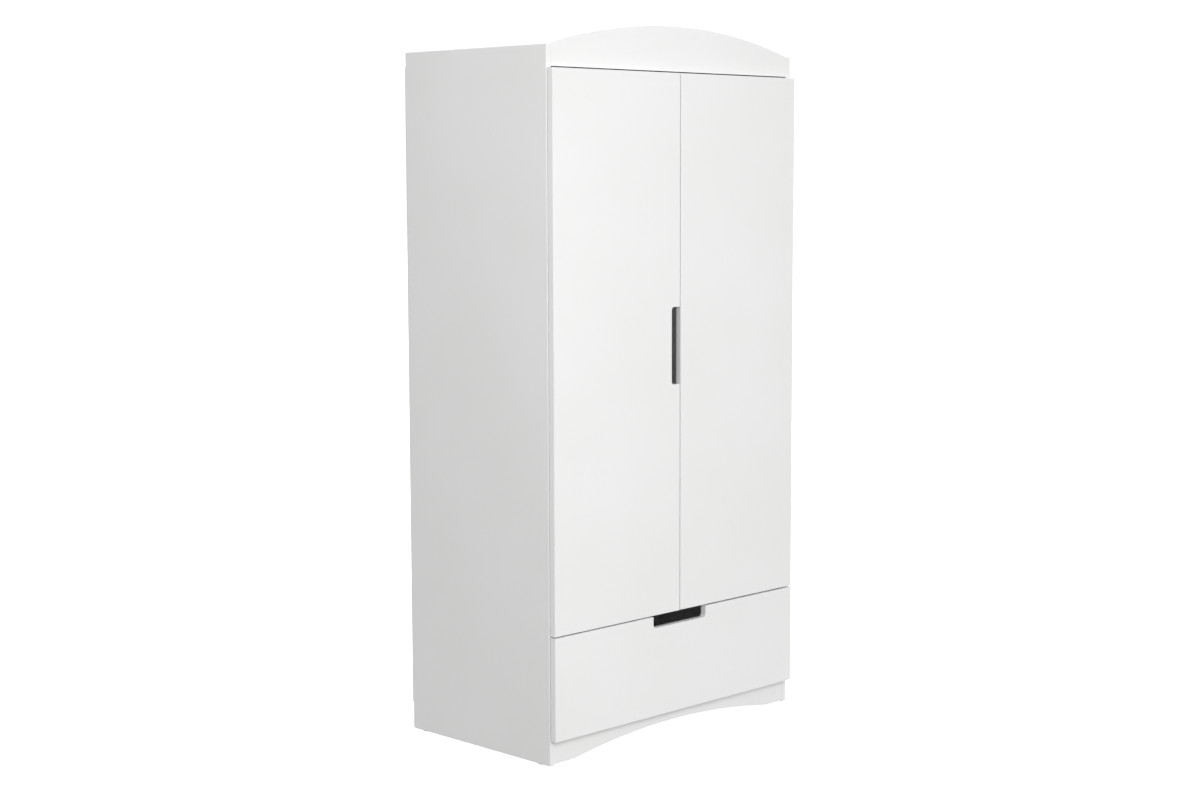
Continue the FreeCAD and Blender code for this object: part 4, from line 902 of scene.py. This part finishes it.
for side in ("left", "right"):
    for part_name in ("plates", "arms", "cups", "links"):
        pressed(f"hinge_{part_name}_{side}_eased", f"hinge_{part_name}_{side}", NICKEL, 0.25 * MM)
    for part_name in ("outer", "middle", "inner"):
        pressed(f"runner_{part_name}_{side}_eased", f"runner_{part_name}_{side}", ZINC, 0.2 * MM)
    pressed(f"rail_flange_{side}_eased", f"rail_flange_{side}", CHROME, 0.4 * MM)
pressed("wall_brackets_eased", "wall_brackets", ZINC, 0.4 * MM)
pressed("back_joint_strip_eased", "back_joint_strip", PLASTIC, 0.2 * MM)


# %% Ball cages
def ball_cage(name, node):
    """The strip takes zinc, and the balls in it take polished steel."""
    bm = merged(node)
    for group in islands(bm):
        is_ball = max(v.co.y for v in group) - min(v.co.y for v in group) < 10 * MM
        for face in {face for v in group for face in v.link_faces}:
            face.material_index = 1 if is_ball else 0
    finished(bm, name, node, [ZINC, BALL_STEEL])


for side in ("left", "right"):
    for row in ("outer", "inner"):
        ball_cage(f"cage_{row}_{side}_balls", f"cage_{row}_{side}")

# %% [markdown]
# ## Hidden bolts and dowels
# The cam bolts and the dowels sit inside the boards, where nothing of them is seen. Their CAD shape is
# right as it is, so they keep it, and only their finish is new.

# %% Dress the CAD nodes that keep their shape
KEPT = {"cam_bolts": ZINC, "drawer_cam_bolts": ZINC, "dowels": BEECH}
for node, finish in KEPT.items():
    for material_slot in frame["nodes"][node].material_slots:
        material_slot.material = finish
print(len(KEPT), "CAD nodes dressed")

# %% [markdown]
# ## Floor and backdrop
# A product studio has a white floor that runs into a white wall. The floor here glows a little by itself,
# which washes out the shadow on it, and it doesn't light the object from below. The wall is a wide ring
# round the floor that only the camera sees, so it lights nothing.

# %% Stage pieces
FLOOR_RADIUS = 60
FLOOR_GLOW, BACKDROP_GLOW = 0.85, 1.05


def stage_piece(bm, name, finish, hidden_from):
    """Makes a piece of the studio, which some kinds of rays don't see."""
    mesh = bpy.data.meshes.new(name)
    bm.to_mesh(mesh)
    bm.free()
    mesh.materials.append(finish)
    piece = bpy.data.objects.new(name, mesh)
    bpy.context.scene.collection.objects.link(piece)
    for rays in hidden_from:
        setattr(piece, f"visible_{rays}", False)
    print("stage:", name)


# %% Floor
finish, tree, shader = new_finish("studio_floor")
mottle = cloud(tree, metres(tree), 1.5)
pale = tint(tree, spread(tree, mottle, 0, 1), (0.88, 0.88, 0.88), (0.90, 0.90, 0.90))
tree.links.new(pale, shader.inputs["Base Color"])
shader.inputs["Roughness"].default_value = 0.9
shader.inputs["Specular IOR Level"].default_value = 0.1
shader.inputs["Emission Color"].default_value = (1, 1, 1, 1)
shader.inputs["Emission Strength"].default_value = FLOOR_GLOW

disc = bmesh.new()
bmesh.ops.create_circle(disc, cap_ends=True, radius=FLOOR_RADIUS, segments=96)
stage_piece(disc, "studio_floor", finish, ("diffuse",))

# %% Backdrop
finish, tree, shader = new_finish("studio_backdrop")
shader.inputs["Base Color"].default_value = (0, 0, 0, 1)
shader.inputs["Emission Color"].default_value = (1, 1, 1, 1)
shader.inputs["Emission Strength"].default_value = BACKDROP_GLOW

ring = bmesh.new()
bmesh.ops.create_cone(ring, cap_ends=False, segments=96, radius1=FLOOR_RADIUS, radius2=FLOOR_RADIUS,
                      depth=2 * FLOOR_RADIUS)
stage_piece(ring, "studio_backdrop", finish, ("diffuse", "glossy", "transmission", "shadow"))

# %% [markdown]
# ## Light
# Most of the light comes from the surroundings. They are brighter on the right than on the left, dimmer
# overhead, and weak from below. One large soft light in front, to the left and above eye height, gives the
# fronts their white and draws the thin shadows under them, and a small one lifts the top of the left side.

# %% Surroundings
SKY_LEFT, SKY_RIGHT = 0.86, 1.36
BOUNCE, OVERHEAD = 0.20, 0.45
BRIGHT_WAY = Vector((0.94, -0.34, 0.0)).normalized()

world = bpy.data.worlds.new("studio")
bpy.context.scene.world = world
world.use_nodes = True
tree = world.node_tree
direction = tree.nodes.new("ShaderNodeTexCoord").outputs["Generated"]
rightness = tree.nodes.new("ShaderNodeVectorMath")
rightness.operation = "DOT_PRODUCT"
rightness.inputs[1].default_value = BRIGHT_WAY
tree.links.new(direction, rightness.inputs[0])
height = tree.nodes.new("ShaderNodeSeparateXYZ")
tree.links.new(direction, height.inputs["Vector"])

sky = spread(tree, rightness.outputs["Value"], SKY_LEFT, SKY_RIGHT, -0.6, 0.3)
below = spread(tree, rightness.outputs["Value"], BOUNCE * SKY_LEFT, BOUNCE * SKY_RIGHT, -0.6, 0.3)
overhead = tree.nodes.new("ShaderNodeMath")
overhead.operation = "MULTIPLY"
tree.links.new(sky, overhead.inputs[0])
tree.links.new(spread(tree, height.outputs["Z"], 1, OVERHEAD, 0.25, 1), overhead.inputs[1])
level = tree.nodes.new("ShaderNodeMix")
tree.links.new(spread(tree, height.outputs["Z"], 0, 1, -0.12, -0.05), level.inputs["Factor"])
tree.links.new(below, level.inputs["A"])
tree.links.new(overhead.outputs["Value"], level.inputs["B"])
background = tree.nodes["Background"]
background.inputs["Color"].default_value = (1, 1, 1, 1)
tree.links.new(level.outputs["Result"], background.inputs["Strength"])
print("surroundings from", SKY_LEFT, "to", SKY_RIGHT)

# %% Soft lights
KEY = {"place": (-2.2, -3.6, 2.3), "aim": (0, -0.3, 1.0), "size": 1.6, "watts": 66}
SIDE = {"place": (-2.2, -0.6, 2.9), "aim": (-0.5, 0, 1.8), "size": 0.8, "watts": 7}


def soft_light(name, place, aim, size, watts):
    """A square light that is aimed at a point."""
    lamp = bpy.data.lights.new(name, "AREA")
    lamp.shape = "SQUARE"
    lamp.size = size
    lamp.energy = watts
    holder = bpy.data.objects.new(name, lamp)
    holder.location = place
    holder.rotation_euler = (Vector(aim) - Vector(place)).to_track_quat("-Z", "Y").to_euler()
    holder.visible_camera = False
    bpy.context.scene.collection.objects.link(holder)
    print(name, watts, "W")


soft_light("front_softbox", **KEY)
soft_light("side_softbox", **SIDE)

# %% [markdown]
# ## Light inside
# Light creeps into a shut wardrobe through its notches and gaps, and bounces about in there for longer
# than a render follows it. Two very weak lamps, one behind the doors and one in the drawer's space, stand
# in for that. They are so weak that nothing shows of them once a door is open.

# %% Weak lamps
GLOW_RADIUS = 0.08
DOORS_GLOW_WATTS, DRAWER_GLOW_WATTS = 0.30, 0.030


def faint_glow(name, place, watts):
    """A weak lamp that neither the camera nor a reflection shows."""
    lamp = bpy.data.lights.new(name, "POINT")
    lamp.energy = watts
    lamp.shadow_soft_size = GLOW_RADIUS
    holder = bpy.data.objects.new(name, lamp)
    holder.location = place
    holder.visible_camera = False
    holder.visible_glossy = False
    bpy.context.scene.collection.objects.link(holder)
    print(name, watts, "W")


low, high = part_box("compartment_floor")
faint_glow("compartment_glow", (0, 0, high.z + 0.75), DOORS_GLOW_WATTS)
faint_glow("drawer_glow", (0, 0, low.z - 0.06), DRAWER_GLOW_WATTS)

# %% [markdown]
# ## Camera
# The camera stands at the wardrobe's left front, a little under its top, and looks slightly down. It has
# no shift, so any other view that is taken with it stays whole.

# %% Camera
LENS = 62.153
CAMERA_PLACE = (-4.3064, -4.2703, 1.6151)
CAMERA_TURN = (radians(83.736), radians(0.163), radians(-45.114))

camera_data = bpy.data.cameras.new("camera")
camera_data.lens = LENS
camera = bpy.data.objects.new("camera", camera_data)
camera.location = CAMERA_PLACE
camera.rotation_euler = CAMERA_TURN
bpy.context.scene.collection.objects.link(camera)
bpy.context.scene.camera = camera
bpy.context.scene.view_settings.view_transform = "Standard"
print("camera at", CAMERA_PLACE)
